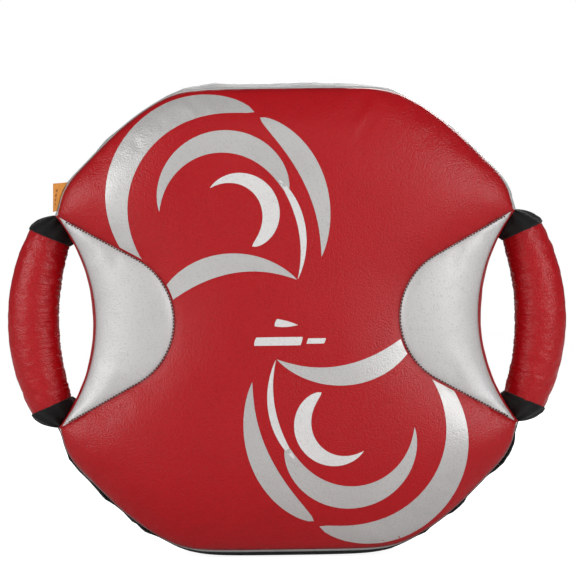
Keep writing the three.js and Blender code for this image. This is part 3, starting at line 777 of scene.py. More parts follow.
@kept
def pile(name, colour, tuft=0.0011):
    """Hook-and-loop: rows of small tufts or hooks on a ground painted darker as shade."""
    material, s, surface, place = new_material(name)
    tufts = s.add("TexVoronoi", {"Vector": place, "Scale": 1 / tuft, "Randomness": 0.55}, feature="F1")
    height = s.spread(tufts.outputs["Distance"], 0.0, 0.6, 1.0, 0.0)
    hair = s.noise(place, 2.5 / tuft, 3.0, 0.7)
    marks = s.group("handling", Vector=place, Size=0.03, Amount=0.5)
    # Painted shade on the ground between the tufts
    shade = s.math("MULTIPLY", s.math("ADD", 0.55, s.math("MULTIPLY", height, 0.6)), marks["Shade"])
    lint = s.math("MULTIPLY", s.spread(hair, 0.60, 0.72), 0.35)
    paint(s, surface, s.mix(lint, tinted(s, colour, shade), (0.30, 0.29, 0.28, 1)),
          s.spread(height, 0.0, 1.0, 0.95, 0.75), s.math("ADD", height, s.math("MULTIPLY", hair, 0.4)),
          0.0006, 0.8, {"Sheen Weight": 0.3})
    return material


def red_leather():
    return leather("red leather", colours().red, roughness=0.31)


def handle_leather():
    return leather("red handle leather", colours().red, relief=0.00018, roughness=0.31, wrinkle=0.0011)


# Silver leather gets weaker painted shade along its seams than the red
def silver_leather():
    return leather("silver leather", colours().silver, pebble=0.0013, relief=0.00010, roughness=0.44,
                   metallic=0.25, seam_shade_strength=0.10)


def black_cloth():
    return cloth("black fabric", colours().black, pitch=0.0009)


def black_cloth_flow():
    return cloth("black fabric along the piece", colours().black, pitch=0.0009, by_uv=True)


def black_webbing():
    return strap_weave("black webbing", colours().black)


THREAD_COLOURS = {
    "black": (0.020, 0.020, 0.021), "red": (0.30, 0.012, 0.014),
    "dark red": (0.11, 0.008, 0.010), "grey": (0.46, 0.45, 0.44),
}


def sewing_thread(shade):
    return thread(f"{shade} thread", THREAD_COLOURS[shade])


# ---- stage ----

CAMERA_ROLL = 0.8

# Each softbox: its place, its width and height in metres, and its power in watts
SOFTBOXES = {
    "Left softbox": ((-1.75, -1.20, 0.85), (1.1, 1.2), 21.5),
    "Right softbox": ((1.55, -1.45, 0.85), (1.0, 1.2), 20.0),
    "Right sheen": ((0.64, -1.80, 0.48), (0.3, 0.5), 2.6),
    "Left sheen": ((-0.78, -1.75, 0.25), (0.3, 0.4), 1.3),
    "Top softbox": ((0.1, -1.5, 1.6), (1.3, 0.5), 3.0),
    "Back softbox": ((0.5, 1.7, 1.5), (1.4, 1.0), 34.0),
}


def add_camera():
    data = bpy.data.cameras.new("Camera")
    data.sensor_width = 36.0
    data.lens = 121.8
    camera = bpy.data.objects.new("Camera", data)
    camera.location = (0.0014, -1.84, CENTRE_Z + 0.0286)
    camera.rotation_euler = (math.pi / 2, math.radians(CAMERA_ROLL), 0)
    bpy.context.scene.collection.objects.link(camera)
    bpy.context.scene.camera = camera


def add_floor():
    """A wide round floor of pale studio paper, its far part as bright as the white behind it."""
    deselect()
    bpy.ops.mesh.primitive_circle_add(vertices=96, radius=9.0, fill_type="NGON")
    obj = bpy.context.object
    obj.name = "studio_floor"
    with edit_mode():
        bpy.ops.mesh.inset(thickness=5.0, depth=0)
    material, s, surface, place = new_material("studio paper")
    marks = s.group("handling", Vector=place, Size=0.5, Amount=0.03)
    paint(s, surface, tinted(s, (0.50, 0.50, 0.50), marks["Shade"]), 0.9,
          fixed={"Specular IOR Level": 0.1, "Emission Color": (1, 1, 1, 1)})
    seen = s.add("LightPath").outputs["Is Camera Ray"]
    s.feed(surface.inputs["Emission Strength"], s.spread(seen, 0.0, 1.0, 0.12, 0.93))
    obj.data.materials.append(material)


def add_world():
    """White behind everything, with only a little of its light falling on the object."""
    world = bpy.data.worlds.new("Studio")
    world.use_nodes = True
    tree = world.node_tree
    air = tree.nodes["Background"]
    air.inputs["Color"].default_value = (1, 1, 1, 1)
    seen = tree.nodes.new("ShaderNodeLightPath")
    strength = tree.nodes.new("ShaderNodeMapRange")
    strength.inputs["To Min"].default_value = 0.12
    strength.inputs["To Max"].default_value = 1.0
    tree.links.new(seen.outputs["Is Camera Ray"], strength.inputs["Value"])
    tree.links.new(strength.outputs[0], air.inputs["Strength"])
    bpy.context.scene.world = world


def add_softbox(name, place, size, power):
    """A soft rectangular lamp aimed at the middle of the shield."""
    aim = Vector((0.0, 0.0, CENTRE_Z))
    data = bpy.data.lights.new(name, "AREA")
    data.shape = "RECTANGLE"
    data.size, data.size_y = size
    data.energy = power
    lamp = bpy.data.objects.new(name, data)
    lamp.location = place
    lamp.rotation_euler = (aim - Vector(place)).to_track_quat("-Z", "Y").to_euler()
    bpy.context.scene.collection.objects.link(lamp)


class SHIELD_OT_stage(bpy.types.Operator):
    """Adds the camera, the pale floor and surroundings, and soft studio light"""
    bl_idname = "shield.stage"
    bl_label = "Stage"

    def execute(self, context):
        add_camera()
        add_floor()
        add_world()
        for name, (place, size, power) in SOFTBOXES.items():
            add_softbox(name, place, size, power)
        context.scene.view_settings.view_transform = "Standard"
        return {"FINISHED"}


# ---- padded front ----

def panel_triangles(rim, seams=(), pitch=0.0048, rows=(), clear=0.0, keep_out=None, holes=()):
    """Triangles of a flat panel (x, z) within a rim, with its seams and holes as edges of the mesh.

    rows are extra points along edges; clear is how far the even points stay from the rim.
    """
    points, edges = [], []

    def chain(line, closed):
        start = len(points)
        points.extend((float(p[0]), float(p[1])) for p in line)
        count = len(line)
        edges.extend((start + i, start + (i + 1) % count) for i in range(count if closed else count - 1))

    chain(rim, True)
    for line in seams:
        chain(line, False)
    for line in holes:
        chain(line, True)
    for row in rows:
        points.extend((float(p[0]), float(p[1])) for p in row)
    low, high = np.min(rim, 0), np.max(rim, 0)
    rise = pitch * math.sqrt(3) / 2
    even = []
    for r in range(int((high[1] - low[1]) / rise) + 2):
        shift = pitch / 2 * (r % 2)
        even += [(low[0] + shift + pitch * c, low[1] + rise * r)
                 for c in range(int((high[0] - low[0]) / pitch) + 2)]
    even = np.array(even)
    inside = inside_polygon(even, rim)
    for line, reach in [(rim, max(clear, 0.6 * pitch)), *[(h, 0.6 * pitch) for h in holes]]:
        inside &= distance_to_line(even, line) > reach
    if keep_out is not None:
        inside &= keep_out(even)
    points.extend(map(tuple, even[inside]))
    flat, _, faces, _, _, _ = delaunay_2d_cdt([Vector(p) for p in points], edges, [], 0, 1e-6)
    flat = np.array([p[:] for p in flat])
    faces = np.array([f[:3] for f in faces if len(f) == 3])
    middles = flat[faces].mean(1)
    keep = inside_polygon(middles, rim)
    for line in holes:
        keep &= ~inside_polygon(middles, line)
    corner = flat[faces]
    a, b = corner[:, 1] - corner[:, 0], corner[:, 2] - corner[:, 0]
    keep &= np.abs(a[:, 0] * b[:, 1] - a[:, 1] * b[:, 0]) > 1e-9
    return flat, faces[keep]


def inside_polygon(points, line):
    """Which points (x, z) lie within a closed line."""
    points, line = np.asarray(points), np.asarray(line)
    inside = np.zeros(len(points), bool)
    for (x0, z0), (x1, z1) in zip(line, np.roll(line, -1, 0)):
        crosses = (z0 > points[:, 1]) != (z1 > points[:, 1])
        if z0 != z1:
            reach = x0 + (points[:, 1] - z0) * (x1 - x0) / (z1 - z0)
            inside ^= crosses & (points[:, 0] < reach)
    return inside


def distance_to_line(points, line):
    """Distance from each point (x, z) to the nearest corner or side of a closed line."""
    line = np.asarray(line)
    nearest = np.full(len(points), 1e9)
    for start, end in zip(line, np.roll(line, -1, 0)):
        along = end - start
        share = np.clip(((points - start) @ along) / max(along @ along, 1e-18), 0, 1)
        gap = points - start - share[:, None] * along
        nearest = np.minimum(nearest, np.hypot(gap[:, 0], gap[:, 1]))
    return nearest


def used_only(points, faces, *more):
    """Drops the points that no face uses."""
    used, index = np.unique(faces, return_inverse=True)
    return (points[used], index.reshape(faces.shape), *[m[used] for m in more])


CLOTH_STIFFNESS, CLOTH_FRAMES = 15.0, 20


def puff_up(obj, held, most, give):
    """Runs the cloth simulation, keeps its result and caps how far a point has moved."""
    before = points_of(obj)
    held_group = obj.vertex_groups.new(name="held")
    held_group.add([int(i) for i in held], 1.0, "REPLACE")
    settings = obj.modifiers.new("Cloth", "CLOTH").settings
    settings.quality = 6
    settings.use_pressure = True
    settings.uniform_pressure_force = sizes().puff
    settings.tension_stiffness = settings.compression_stiffness = CLOTH_STIFFNESS
    settings.vertex_group_mass = "held"
    settings.effector_weights.gravity = 0
    settings.shrink_min = -give
    scene = bpy.context.scene
    for frame_number in range(1, CLOTH_FRAMES + 1):
        scene.frame_set(frame_number)
    make_active(obj)
    bpy.ops.object.modifier_apply(modifier="Cloth")
    scene.frame_set(1)
    obj.vertex_groups.clear()
    mesh = obj.data
    moved = points_of(obj) - before
    reach = np.linalg.norm(moved, axis=1)[:, None]
    after = before + moved / np.maximum(reach, 1e-9) * most * np.tanh(reach / most)
    mesh.vertices.foreach_set("co", after.ravel())
    mesh.update()


def front_surface(flat):
    """Places flat points (x, z) on the padded front, with its seams drawn in and small unevenness."""
    x, z = flat[:, 0], flat[:, 1]
    inside = edge_distance(x, z)
    seam = np.abs(inset_distance(x, z))
    height = crown_height(x, z)
    height -= sizes().seam_dip * np.exp(-(seam / 0.0026) ** 2)
    raw = np.stack([x, np.zeros_like(x), z], 1)
    broad, small = soft_noise(raw, 14.0, 3.0), soft_noise(raw, 75.0, 8.0)
    height += 0.0008 * broad * np.clip(inside / 0.03, 0, 1)
    pucker = 0.00055 * np.exp(-seam / 0.010) + 0.0006 * np.exp(-inside / 0.014)
    height += pucker * small * np.clip(inside / 0.004, 0, 1) * np.clip(seam / 0.0016, 0, 1)
    return np.stack([x, FRONT_Y - height, CENTRE_Z + z], 1)


class SHIELD_OT_front(bpy.types.Operator):
    """Makes the padded red front, its two silver insets and the foam under them"""
    bl_idname = "shield.front"
    bl_label = "Padded front"

    def execute(self, context):
        pitch = sizes().mesh_pitch
        rim = outline(FRONT)
        seams = [inset_line(side) for side in (1, -1)]
        rows = [outline(FRONT, -d) for d in (0.0013, 0.0034, 0.0066, 0.0108)]
        for side in (1, -1):
            for offset in (-0.0042, -0.0020, -0.0008, 0.0008, 0.0020, 0.0042):
                line = inset_line(side, offset)
                rows.append(line[edge_distance(line[:, 0], line[:, 1]) > 0.013])
        flat, faces = panel_triangles(
            rim, seams, pitch, rows, clear=0.0145,
            keep_out=lambda p: np.abs(inset_distance(p[:, 0], p[:, 1])) > 0.0065)
        points = front_surface(flat)
        whole = new_object("front_whole", points, faces)
        face_outwards(whole, lambda p: Vector((0, -1, 0)))
        at_seam = np.abs(inset_distance(flat[:, 0], flat[:, 1])) < 2e-5
        at_rim = edge_distance(flat[:, 0], flat[:, 1]) < 1.2e-4
        puff_up(whole, np.flatnonzero(at_seam | at_rim), 0.0020, 0.002)
        points = points_of(whole)
        faces = np.array([p.vertices[:] for p in whole.data.polygons])
        bpy.data.objects.remove(whole)
        inside = edge_distance(flat[:, 0], flat[:, 1])
        close = np.minimum(inside, np.abs(inset_distance(flat[:, 0], flat[:, 1])))
        # Painted shade along the rim and the inset seams, kept as the seam attribute
        seam_shade = np.exp(-(close / SEAM_SHADE_WIDTH) ** 2)
        middle = flat[faces].mean(1)
        silver = inset_distance(middle[:, 0], middle[:, 1]) < 0
        for name, kept_faces, material, slot in [
            ("front_panel", ~silver, red_leather(), "red_leather"),
            ("inset_right", silver & (middle[:, 0] > 0), silver_leather(), "silver_leather"),
            ("inset_left", silver & (middle[:, 0] < 0), silver_leather(), "silver_leather"),
        ]:
            part, part_faces, part_seam_shade = used_only(points, faces[kept_faces], seam_shade)
            obj = new_object("cover_" + name, part, part_faces, attributes={"seam": part_seam_shade})
            thicken(obj, sizes().skin)
            finish_piece(obj, "shield", material, [name])
        self.foam()
        return {"FINISHED"}

    def foam(self):
        rim = outline(FRONT, -0.0045)
        flat, faces = panel_triangles(rim, pitch=0.008, rows=[outline(FRONT, -d) for d in (0.007, 0.011)],
                                      clear=0.011)
        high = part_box("foam_face")[1]
        height = np.maximum(crown_height(flat[:, 0], flat[:, 1]) - 0.0048, 0.0)
        front = np.stack([flat[:, 0], FRONT_Y - height, CENTRE_Z + flat[:, 1]], 1)
        back = np.stack([flat[:, 0], np.full(len(flat), high.y), CENTRE_Z + flat[:, 1]], 1)
        count = len(flat)
        order = [int(np.argmin(np.hypot(*(flat - p).T))) for p in rim]
        wall = [(a, b, b + count, a + count) for a, b in zip(order, order[1:] + order[:1])]
        obj = new_object("padded_foam_face", np.vstack([front, back]),
                         [*map(tuple, faces), *[tuple(f[::-1] + count) for f in faces], *wall])
        make_consistent(obj)
        material = foam_cells("face foam", (0.045, 0.049, 0.055))
        finish_piece(obj, "shield", material, ["foam_face"])


def make_consistent(obj):
    """Turns every face of a closed mesh outwards."""
    make_active(obj)
    with edit_mode():
        bpy.ops.mesh.normals_make_consistent(inside=False)


# ---- prints ----

def sweep(centre, radius, start, end, width, count=44):
    """A crescent along an arc, tapering to both ends."""
    outer, inner = [], []
    for i in range(count + 1):
        t = i / count
        a = math.radians(start + (end - start) * t)
        half = width / 2 * max(math.sin(math.pi * t ** 0.75) ** 0.8, 0.015)
        way = np.array([math.cos(a), math.sin(a)])
        outer.append(centre + way * (radius + half))
        inner.append(centre + way * (radius - half))
    return np.array(outer + inner[::-1])


def blade(points, count=10):
    """A closed outline through a few corners, its sides bowed by quadratic arcs."""
    line = []
    for (start, bow), (end, _) in zip(points, points[1:] + points[:1]):
        start, bow, end = map(np.array, (start, bow, end))
        for i in range(count):
            t = i / count
            line.append((1 - t) ** 2 * start + 2 * t * (1 - t) * bow + t ** 2 * end)
    return np.array(line)


PRINT_MARGIN, PRINT_LIFT, PRINT_THICKNESS = 0.0022, 0.00026, 0.00016


def film(name, tree, shape, material):
    """A printed film laid on the front: a flat shape dropped onto the cover's surface."""
    flat, faces = panel_triangles(shape, [inset_line(side, PRINT_MARGIN) for side in SIDES], pitch=0.0030)
    middle = flat[faces].mean(1)
    flat, faces = used_only(flat, faces[inset_distance(middle[:, 0], middle[:, 1]) > PRINT_MARGIN])
    points = []
    for x, z in flat:
        hit, normal = on_front(tree, x, z)
        points.append(hit + normal * PRINT_LIFT)
    obj = new_object(name, points, faces)
    face_outwards(obj, lambda p: Vector((0, -1, 0)))
    thicken(obj, PRINT_THICKNESS)
    smooth_by_angle(obj, 30)
    return finish_piece(obj, "shield", material)


class SHIELD_OT_prints(bpy.types.Operator):
    """Lays the printed sweeps and the small centre bars on the front"""
    bl_idname = "shield.prints"
    bl_label = "Prints"

    def execute(self, context):
        tree = surface_of("cover_front_panel", "cover_inset_right", "cover_inset_left")
        ink = print_ink("silver print", colours().ink)
        bright = print_ink("bright print", colours().bright_ink)
        centre = np.array([-0.064, 0.108])
        shapes = {
            "outer": (sweep(centre, 0.090, 66, 238, 0.026), ink),
            "middle": (sweep(centre + (0.008, -0.004), 0.059, 10, 184, 0.021), ink),
            "inner": (sweep(centre + (0.018, -0.012), 0.033, -62, 132, 0.016), bright),
            "tail": (sweep(centre + (0.022, -0.148), 0.092, 146, 56, 0.020), ink),
            "wing": (sweep(centre - (0.022, 0.026), 0.121, 58, -12, 0.020), ink),
            "spark": (sweep(centre - (0.012, 0.040), 0.092, 40, -20, 0.007), bright),
        }
        for name, (shape, material) in shapes.items():
            film(f"print_{name}_upper", tree, shape, material)
            film(f"print_{name}_lower", tree, -shape, material)
        bars = {
            "bar_long": blade([
                ((-0.030, -0.0235), (0.0, -0.0237)), ((0.012, -0.0235), (0.0138, -0.0200)),
                ((0.014, -0.0160), (0.0, -0.0158)), ((-0.028, -0.0160), (-0.0302, -0.0195))]),
            "bar_short": blade([
                ((0.0175, -0.0222), (0.026, -0.0223)), ((0.0335, -0.0222), (0.0348, -0.0198)),
                ((0.0352, -0.0174), (0.026, -0.0173)), ((0.0192, -0.0174), (0.0180, -0.0198))]),
            "lozenge": blade([((-0.011, -0.0062), (-0.001, -0.0078)), ((0.010, -0.0052), (0.001, -0.0008)),
                              ((-0.009, 0.0006), (-0.0118, -0.0030))]),
        }
        for name, shape in bars.items():
            film("print_" + name, tree, shape, bright)
        return {"FINISHED"}


# ---- sides ----

def wall_points(columns, rows, ruffle=None):
    """Points of the side wall at outline indices and rows from front (0) to back (1)."""
    front, middle, back = outline(FRONT), outline(MIDDLE), outline(BACK)
    points = []
    for t in rows:
        y = FRONT_Y + WALL_DEPTH * t
        swell = math.sin(math.pi / 2 * min(1.0, t / 0.19)) ** 1.9 if t < 0.5 else 1 - (2 * t - 1) ** 9
        for c in columns:
            i = c % AROUND
            lined = front[i] * (1 - t) + back[i] * t
            halfway = (front[i] + back[i]) / 2
            x, z = lined + (middle[i] - halfway) * swell
            points.append((x, y, CENTRE_Z + z))
    points = np.array(points)
    if ruffle:
        points = ruffle(points, np.repeat(rows, len(columns)))
    return points


def ruffled(amount, seed, outward_only=False):
    """Small slack folds across the wall that fade at its seams and leave the resting edge flat."""
    def move(points, t):
        flat = points - (0, 0, CENTRE_Z)
        reach = np.hypot(flat[:, 0], flat[:, 2])
        way = np.stack([flat[:, 0] / reach, np.zeros(len(flat)), flat[:, 2] / reach], 1)
        squeezed = flat * (1.0, 0.35, 1.0)
        waves = soft_noise(squeezed, 42.0, seed) + 0.5 * soft_noise(squeezed, 110.0, seed + 4)
        if outward_only:
            waves = np.clip(waves + 0.15, 0, None) * 1.6
        fade = np.clip(np.minimum(t, 1 - t) / 0.10, 0, 1) ** 0.7
        rests = np.clip((flat[:, 2] + MIDDLE.flat - 0.004) / 0.02, 0, 1)
        points = points + way * (amount * waves * fade * rests)[:, None]
        points[:, 2] = np.maximum(points[:, 2], 0.0)
        return points
    return move


def wall_piece(name, first, last, top, bottom, rows, material, slot, ruffle=None):
    columns = list(range(first, last + 1))
    rows = [top + (bottom - top) * r / (rows - 1) for r in range(rows)]
    points = wall_points(columns, rows, ruffle)
    uvs = [(c * COLUMN_STEP, WALL_DEPTH * t) for t in rows for c in range(len(columns))]
    # Painted shade along the wall's front and back seams, kept as the seam attribute
    close = [math.exp(-(min(t, 1 - t) * WALL_DEPTH / SEAM_SHADE_WIDTH) ** 2) for t in rows for _ in columns]
    obj = new_object("side_" + name, points, grid_faces(len(rows), len(columns)), uvs, {"seam": close})
    face_outwards(obj, lambda p: Vector((p.x, 0, p.z - CENTRE_Z)))
    thicken(obj, sizes().skin)
    finish_piece(obj, "shield", material, [name])
    return obj


class SHIELD_OT_sides(bpy.types.Operator):
    """Makes the five side panels between the front and the back"""
    bl_idname = "shield.sides"
    bl_label = "Side panels"

    def execute(self, context):
        c = CORNERS
        trim = (TRIM_Y - FRONT_Y) / WALL_DEPTH
        red, silver = red_leather(), silver_leather()
        wall_piece("gusset_top", c["upper_right"], c["upper_left"], 0, 1, 17, silver, "silver_leather",
                   ruffled(0.0010, 2.0, outward_only=True))
        wall_piece("gusset_right", c["lower_right"], c["upper_right"], 0, 1, 17, red, "red_leather",
                   ruffled(0.0006, 5.0))
        wall_piece("gusset_left", c["upper_left"], c["lower_left"], 0, 1, 17, red, "red_leather",
                   ruffled(0.0006, 7.0))
        low = c["lower_left"] - AROUND, c["lower_right"]
        wall_piece("gusset_trim", *low, 0, trim, 4, silver, "silver_leather")
        wall_piece("gusset_bottom", *low, trim, 1, 17, black_cloth_flow(), "black_fabric",
                   ruffled(0.0027, 11.0, outward_only=True))
        return {"FINISHED"}


# ---- back ----

def rounded_box(x0, x1, z0, z1, radius, steps=5, pitch=0.006):
    """A closed line round a rectangle with rounded corners."""
    line = []
    for cx, cz, a in [(x1 - radius, z0 + radius, -90), (x1 - radius, z1 - radius, 0),
                      (x0 + radius, z1 - radius, 90), (x0 + radius, z0 + radius, 180)]:
        for i in range(steps + 1):
            turn = math.radians(a + 90 * i / steps)
            line.append((cx + radius * math.cos(turn), cz + radius * math.sin(turn)))
    full = []
    for start, end in zip(line, line[1:] + line[:1]):
        start, end = np.array(start), np.array(end)
        count = max(1, int(np.linalg.norm(end - start) / pitch))
        full += [start + (end - start) * i / count for i in range(count)]
    return np.array(full)


class SHIELD_OT_back(bpy.types.Operator):
    """Makes the fabric back panel with its zip opening, and the folded binding round it"""
    bl_idname = "shield.back"
    bl_label = "Back panel"

    def execute(self, context):
        low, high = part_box("zip_coil_lower")[0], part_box("zip_coil_upper")[1]
        slot = rounded_box(low.x - 0.003, high.x + 0.003,
                           low.z - CENTRE_Z - 0.0026, high.z - CENTRE_Z + 0.0026, 0.0025)
        rim = outline(BACK, -0.0033)
        flat, faces = panel_triangles(rim, pitch=0.0075, rows=[outline(BACK, -0.0075)], clear=0.011,
                                      holes=[slot])
        flat, faces = used_only(flat, faces)
        raw = np.stack([flat[:, 0], np.zeros(len(flat)), flat[:, 1]], 1)
        loose = np.clip(distance_to_line(flat, rim) / 0.02, 0, 1)
        loose = loose * np.clip(distance_to_line(flat, slot) / 0.01, 0, 1)
        sag = 0.0005 * (soft_noise(raw, 18.0, 1.0) + 0.4 * soft_noise(raw, 60.0, 6.0) - 0.7) * loose
        points = np.stack([flat[:, 0], BACK_FACE + np.minimum(sag, 0), CENTRE_Z + flat[:, 1]], 1)
        obj = new_object("back_fabric", points, faces, flat)
        face_outwards(obj, lambda p: Vector((0, 1, 0)))
        thicken(obj, 0.0015)
        finish_piece(obj, "shield", black_cloth(), ["back_panel"])
        self.binding()
        return {"FINISHED"}

    def binding(self):
        low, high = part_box("back_binding")
        section = []
        corners = [(-0.0029, low.y + 0.0006), (0.0010, low.y), (0.0026, low.y + 0.0012),
                   (0.0027, high.y - 0.0013), (0.0013, high.y), (-0.0029, high.y - 0.0005)]
        for (g0, y0), (g1, y1) in zip(corners, corners[1:] + corners[:1]):
            section += [(g0 + (g1 - g0) * i / 3, y0 + (y1 - y0) * i / 3) for i in range(3)]
        rings = [outline(BACK, g) for g, _ in section]
        across = len(section)
        points, uvs = [], []
        for i in range(AROUND):
            for k, (g, y) in enumerate(section):
                x, z = rings[k][i]
                pull = 0.00022 * math.sin(i * 2.1) if 11 <= k <= 16 else 0.0
                points.append((x, y - pull, max(CENTRE_Z + z, 0.0)))
                uvs.append((i * COLUMN_STEP, k * 0.001))
        obj = new_object("back_binding_tape", points, grid_faces(AROUND, across, True, True), uvs)
        closed_outwards(obj)
        finish_piece(obj, "shield", black_cloth_flow(), ["back_binding"])


# ---- side handles ----

def handle_frame(side, angle):
    """Centre and outward direction of the handle's bowed line at an angle."""
    way = Vector((side * math.cos(angle), 0, math.sin(angle)))
    return Vector((side * HANDLE_BOW_X, 0, CENTRE_Z)) + way * HANDLE_BOW, way


def sleeve_radius(angle):
    return SLEEVE_END + (SLEEVE_MID - SLEEVE_END) * (1 - (angle / SLEEVE_ANGLE) ** 2)


def tube(rings, name, attributes=None):
    """A tube through rings of points, its UV in metres."""
    around = len(rings[0])
    points = [p for ring in rings for p in ring]
    uvs = [(k * 0.0022, r * 0.0014) for r in range(len(rings)) for k in range(around)]
    return new_object(name, points, grid_faces(len(rings), around, False, True), uvs, attributes)


def stuffed_tube(name, line, around, along, across, fold, seam, bend, most, outward):
    """A stuffed tube along a bowed line, its seam along the inner side, puffed up by the simulation.

    line(part) gives centre, outward direction and radius for part from -1 to 1; fold(part, turn, inner)
    is added to the radius. seam is the seam's width and depth, bend how far the skin wrinkles outside
    and inside, and most how far a point may move.
    """
    rings, wrinkled = [], []
    for r in range(along + 1):
        part = 2 * r / along - 1
        centre, way, radius = line(part)
        ring = []
        for k in range(around):
            turn = 2 * math.pi * k / around
            inner = max(0.0, -math.cos(turn)) ** 1.5
            drawn_in = seam[1] * math.exp(-((math.pi - turn) * radius / seam[0]) ** 2)
            here = radius + fold(part, turn, inner) - drawn_in
            ring.append(centre + way * (here * math.cos(turn)) + across * (here * math.sin(turn)))
            wrinkled.append(bend[0] + bend[1] * inner)
        rings.append(ring)
    obj = tube(rings, name, {"bend": wrinkled})
    face_outwards(obj, outward)
    held = [r * around + k for r in range(along + 1) for k in range(around)
            if r in (0, along) or k == around // 2]
    puff_up(obj, held, most, 0.006)
    return obj


def handle_sleeve(side, name):
    def line(part):
        angle = SLEEVE_ANGLE * part
        return (*handle_frame(side, angle), sleeve_radius(angle))

    def fold(part, turn, inner):
        angle = SLEEVE_ANGLE * part
        around = Vector((math.cos(turn), math.sin(turn), 0))
        wave = noise.noise((around * 2.2 + Vector((0, 0, angle * 22))) * 1.3 + Vector((side, 0, 0)))
        pleat = noise.noise(around * 1.6 + Vector((0, 0, angle * 150 + side)))
        gather = math.exp(-(SLEEVE_ANGLE - abs(angle)) * HANDLE_BOW / 0.006)
        gather *= 0.5 + 0.5 * math.sin(turn * 13)
        return 0.0005 * wave + 0.00055 * pleat * (0.25 + inner) - 0.0009 * gather

    obj = stuffed_tube(name, line, 56, 110, Vector((0, 1, 0)), fold, (0.0016, 0.0009), (0.15, 0.85), 0.0007,
                       outward_from_handle(side))
    thicken(obj, sizes().skin)
    word = SIDES[side]
    finish_piece(obj, f"{word}_handle", handle_leather(), [f"handle_sleeve_{word}"])


def outward_from_handle(side):
    centre = Vector((side * HANDLE_BOW_X, 0, CENTRE_Z))

    def outward(p):
        way = (p - centre) * Vector((1, 0, 1))
        return p - (centre + way.normalized() * HANDLE_BOW)
    return outward


# Sections of the gathered cuff from the sleeve to the corner of the body: inner and outer end as
# (x, z above the middle), and half the width along Y
CUFF = [
    ((0.2030, 0.0704), (0.2415, 0.0868), 0.0206), ((0.2018, 0.0722), (0.2422, 0.0882), 0.0213),
    ((0.1998, 0.0752), (0.2411, 0.0898), 0.0212), ((0.1988, 0.0795), (0.2380, 0.0926), 0.0205),
    ((0.2000, 0.0845), (0.2328, 0.0958), 0.0192), ((0.2030, 0.0895), (0.2265, 0.0984), 0.0170),
    ((0.2070, 0.0940), (0.2205, 0.0997), 0.0150), ((0.2105, 0.0968), (0.2160, 0.1000), 0.0135),
]


def smooth_sections(sections, steps):
    """Catmull-Rom steps between sections of numbers."""
    rows = np.array([[*a, *b, d] for a, b, d in sections])
    padded = np.vstack([rows[0], rows, rows[-1]])
    result = []
    for i in range(len(rows) - 1):
        p0, p1, p2, p3 = padded[i:i + 4]
        for k in range(steps):
            t = k / steps
            result.append(0.5 * (2 * p1 + (p2 - p0) * t + (2 * p0 - 5 * p1 + 4 * p2 - p3) * t ** 2
                                 + (3 * p1 - p0 - 3 * p2 + p3) * t ** 3))
    return [*result, rows[-1]]


def clear_of_body(x, z, gap=0.0007):
    """Moves a point (x, z above the middle) out of the body's hollow side."""
    hollow = hollow_of(MIDDLE)
    centre = MIDDLE.waist + hollow
    reach = math.hypot(x - centre, z)
    if reach > hollow - gap and x < centre:
        x, z = centre + (x - centre) * (hollow - gap) / reach, z * (hollow - gap) / reach
    return x, z


def handle_cuff(side, level, name):
    around = 48
    rows = smooth_sections(CUFF, 6)
    rings = []
    last = len(rows) - 1
    for r, (ix, iz, ox, oz, depth) in enumerate(rows):
        t = r / last
        centre = np.array([(ix + ox) / 2, (iz + oz) / 2])
        reach = np.array([(ox - ix) / 2, (oz - iz) / 2])
        ring = []
        for k in range(around):
            turn = 2 * math.pi * k / around
            fold = 1 + (0.015 + 0.085 * t) * math.sin(turn * 9 + 5 * t + side) * min(1, 5 * t)
            fold += 0.05 * noise.noise(Vector((math.cos(turn) * 2, math.sin(turn) * 2, 6 * t + 3 * side)))
            fold -= 0.05 * math.exp(-(t / 0.035) ** 2)
            x, z = centre + reach * math.cos(turn) * fold
            x, z = clear_of_body(x, z)
            ring.append(Vector((side * x, depth * fold * math.sin(turn), CENTRE_Z + level * z)))
        rings.append(ring)
    obj = tube(rings, name)
    start = len(obj.data.vertices)
    with mesh_work(obj) as work:
        work.verts.ensure_lookup_table()
        cap = [work.verts[start - around + k] for k in range(around)]
        tip = work.verts.new(sum((v.co for v in cap), Vector()) / around)
        for a, b in zip(cap, cap[1:] + cap[:1]):
            work.faces.new((a, b, tip)).smooth = True
        bmesh.ops.recalc_face_normals(work, faces=work.faces)
    face_outwards(obj, outward_from_handle(side))
    thicken(obj, 0.0011)
    finish_piece(obj, None, black_cloth(),
                 [f"cuff_{SIDES[side]}_{LEVELS[level]}"])
    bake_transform(obj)


class SHIELD_OT_handles(bpy.types.Operator):
    """Makes the padded side handles and the gathered cuffs that hold them to the corners"""
    bl_idname = "shield.handles"
    bl_label = "Side handles"

    def execute(self, context):
        for side, word in SIDES.items():
            handle_sleeve(side, f"handle_cover_{word}")
            for level, end in LEVELS.items():
                handle_cuff(side, level, f"handle_cuff_{word}_{end}")
        return {"FINISHED"}


# ---- seams and label ----

def front_line(tree, line):
    hits = [on_front(tree, x, z) for x, z in line]
    return [h for h, _ in hits], [n for _, n in hits]


def straight_row(name, start, end, normal, body, material, slot, pitch=0.0030, length=0.0021):
    steps = [Vector(start).lerp(Vector(end), i / 8) for i in range(9)]
    return stitch_row(name, steps, normal, body, material, pitch, length)


def box_stitches(name, centre, half_x, half_z, shade, cross=True):
    """The square of stitches, with its cross, that holds a strap's end."""
    x, y, z = centre
    a, b = (x - half_x, y, z - half_z), (x + half_x, y, z - half_z)
    c, d = (x + half_x, y, z + half_z), (x - half_x, y, z + half_z)
    lines = [(a, b), (b, c), (c, d), (d, a)] + ([(a, c), (b, d)] if cross else [])
    material = sewing_thread(shade)
    rows = [straight_row(f"{name}_{i}", start, end, (0, 1, 0), "shield", material, "webbing")
            for i, (start, end) in enumerate(lines)]
    deselect()
    for row in rows:
        row.select_set(True)
    bpy.context.view_layer.objects.active = rows[0]
    bpy.ops.object.join()
    rows[0].name = name
    return rows[0]


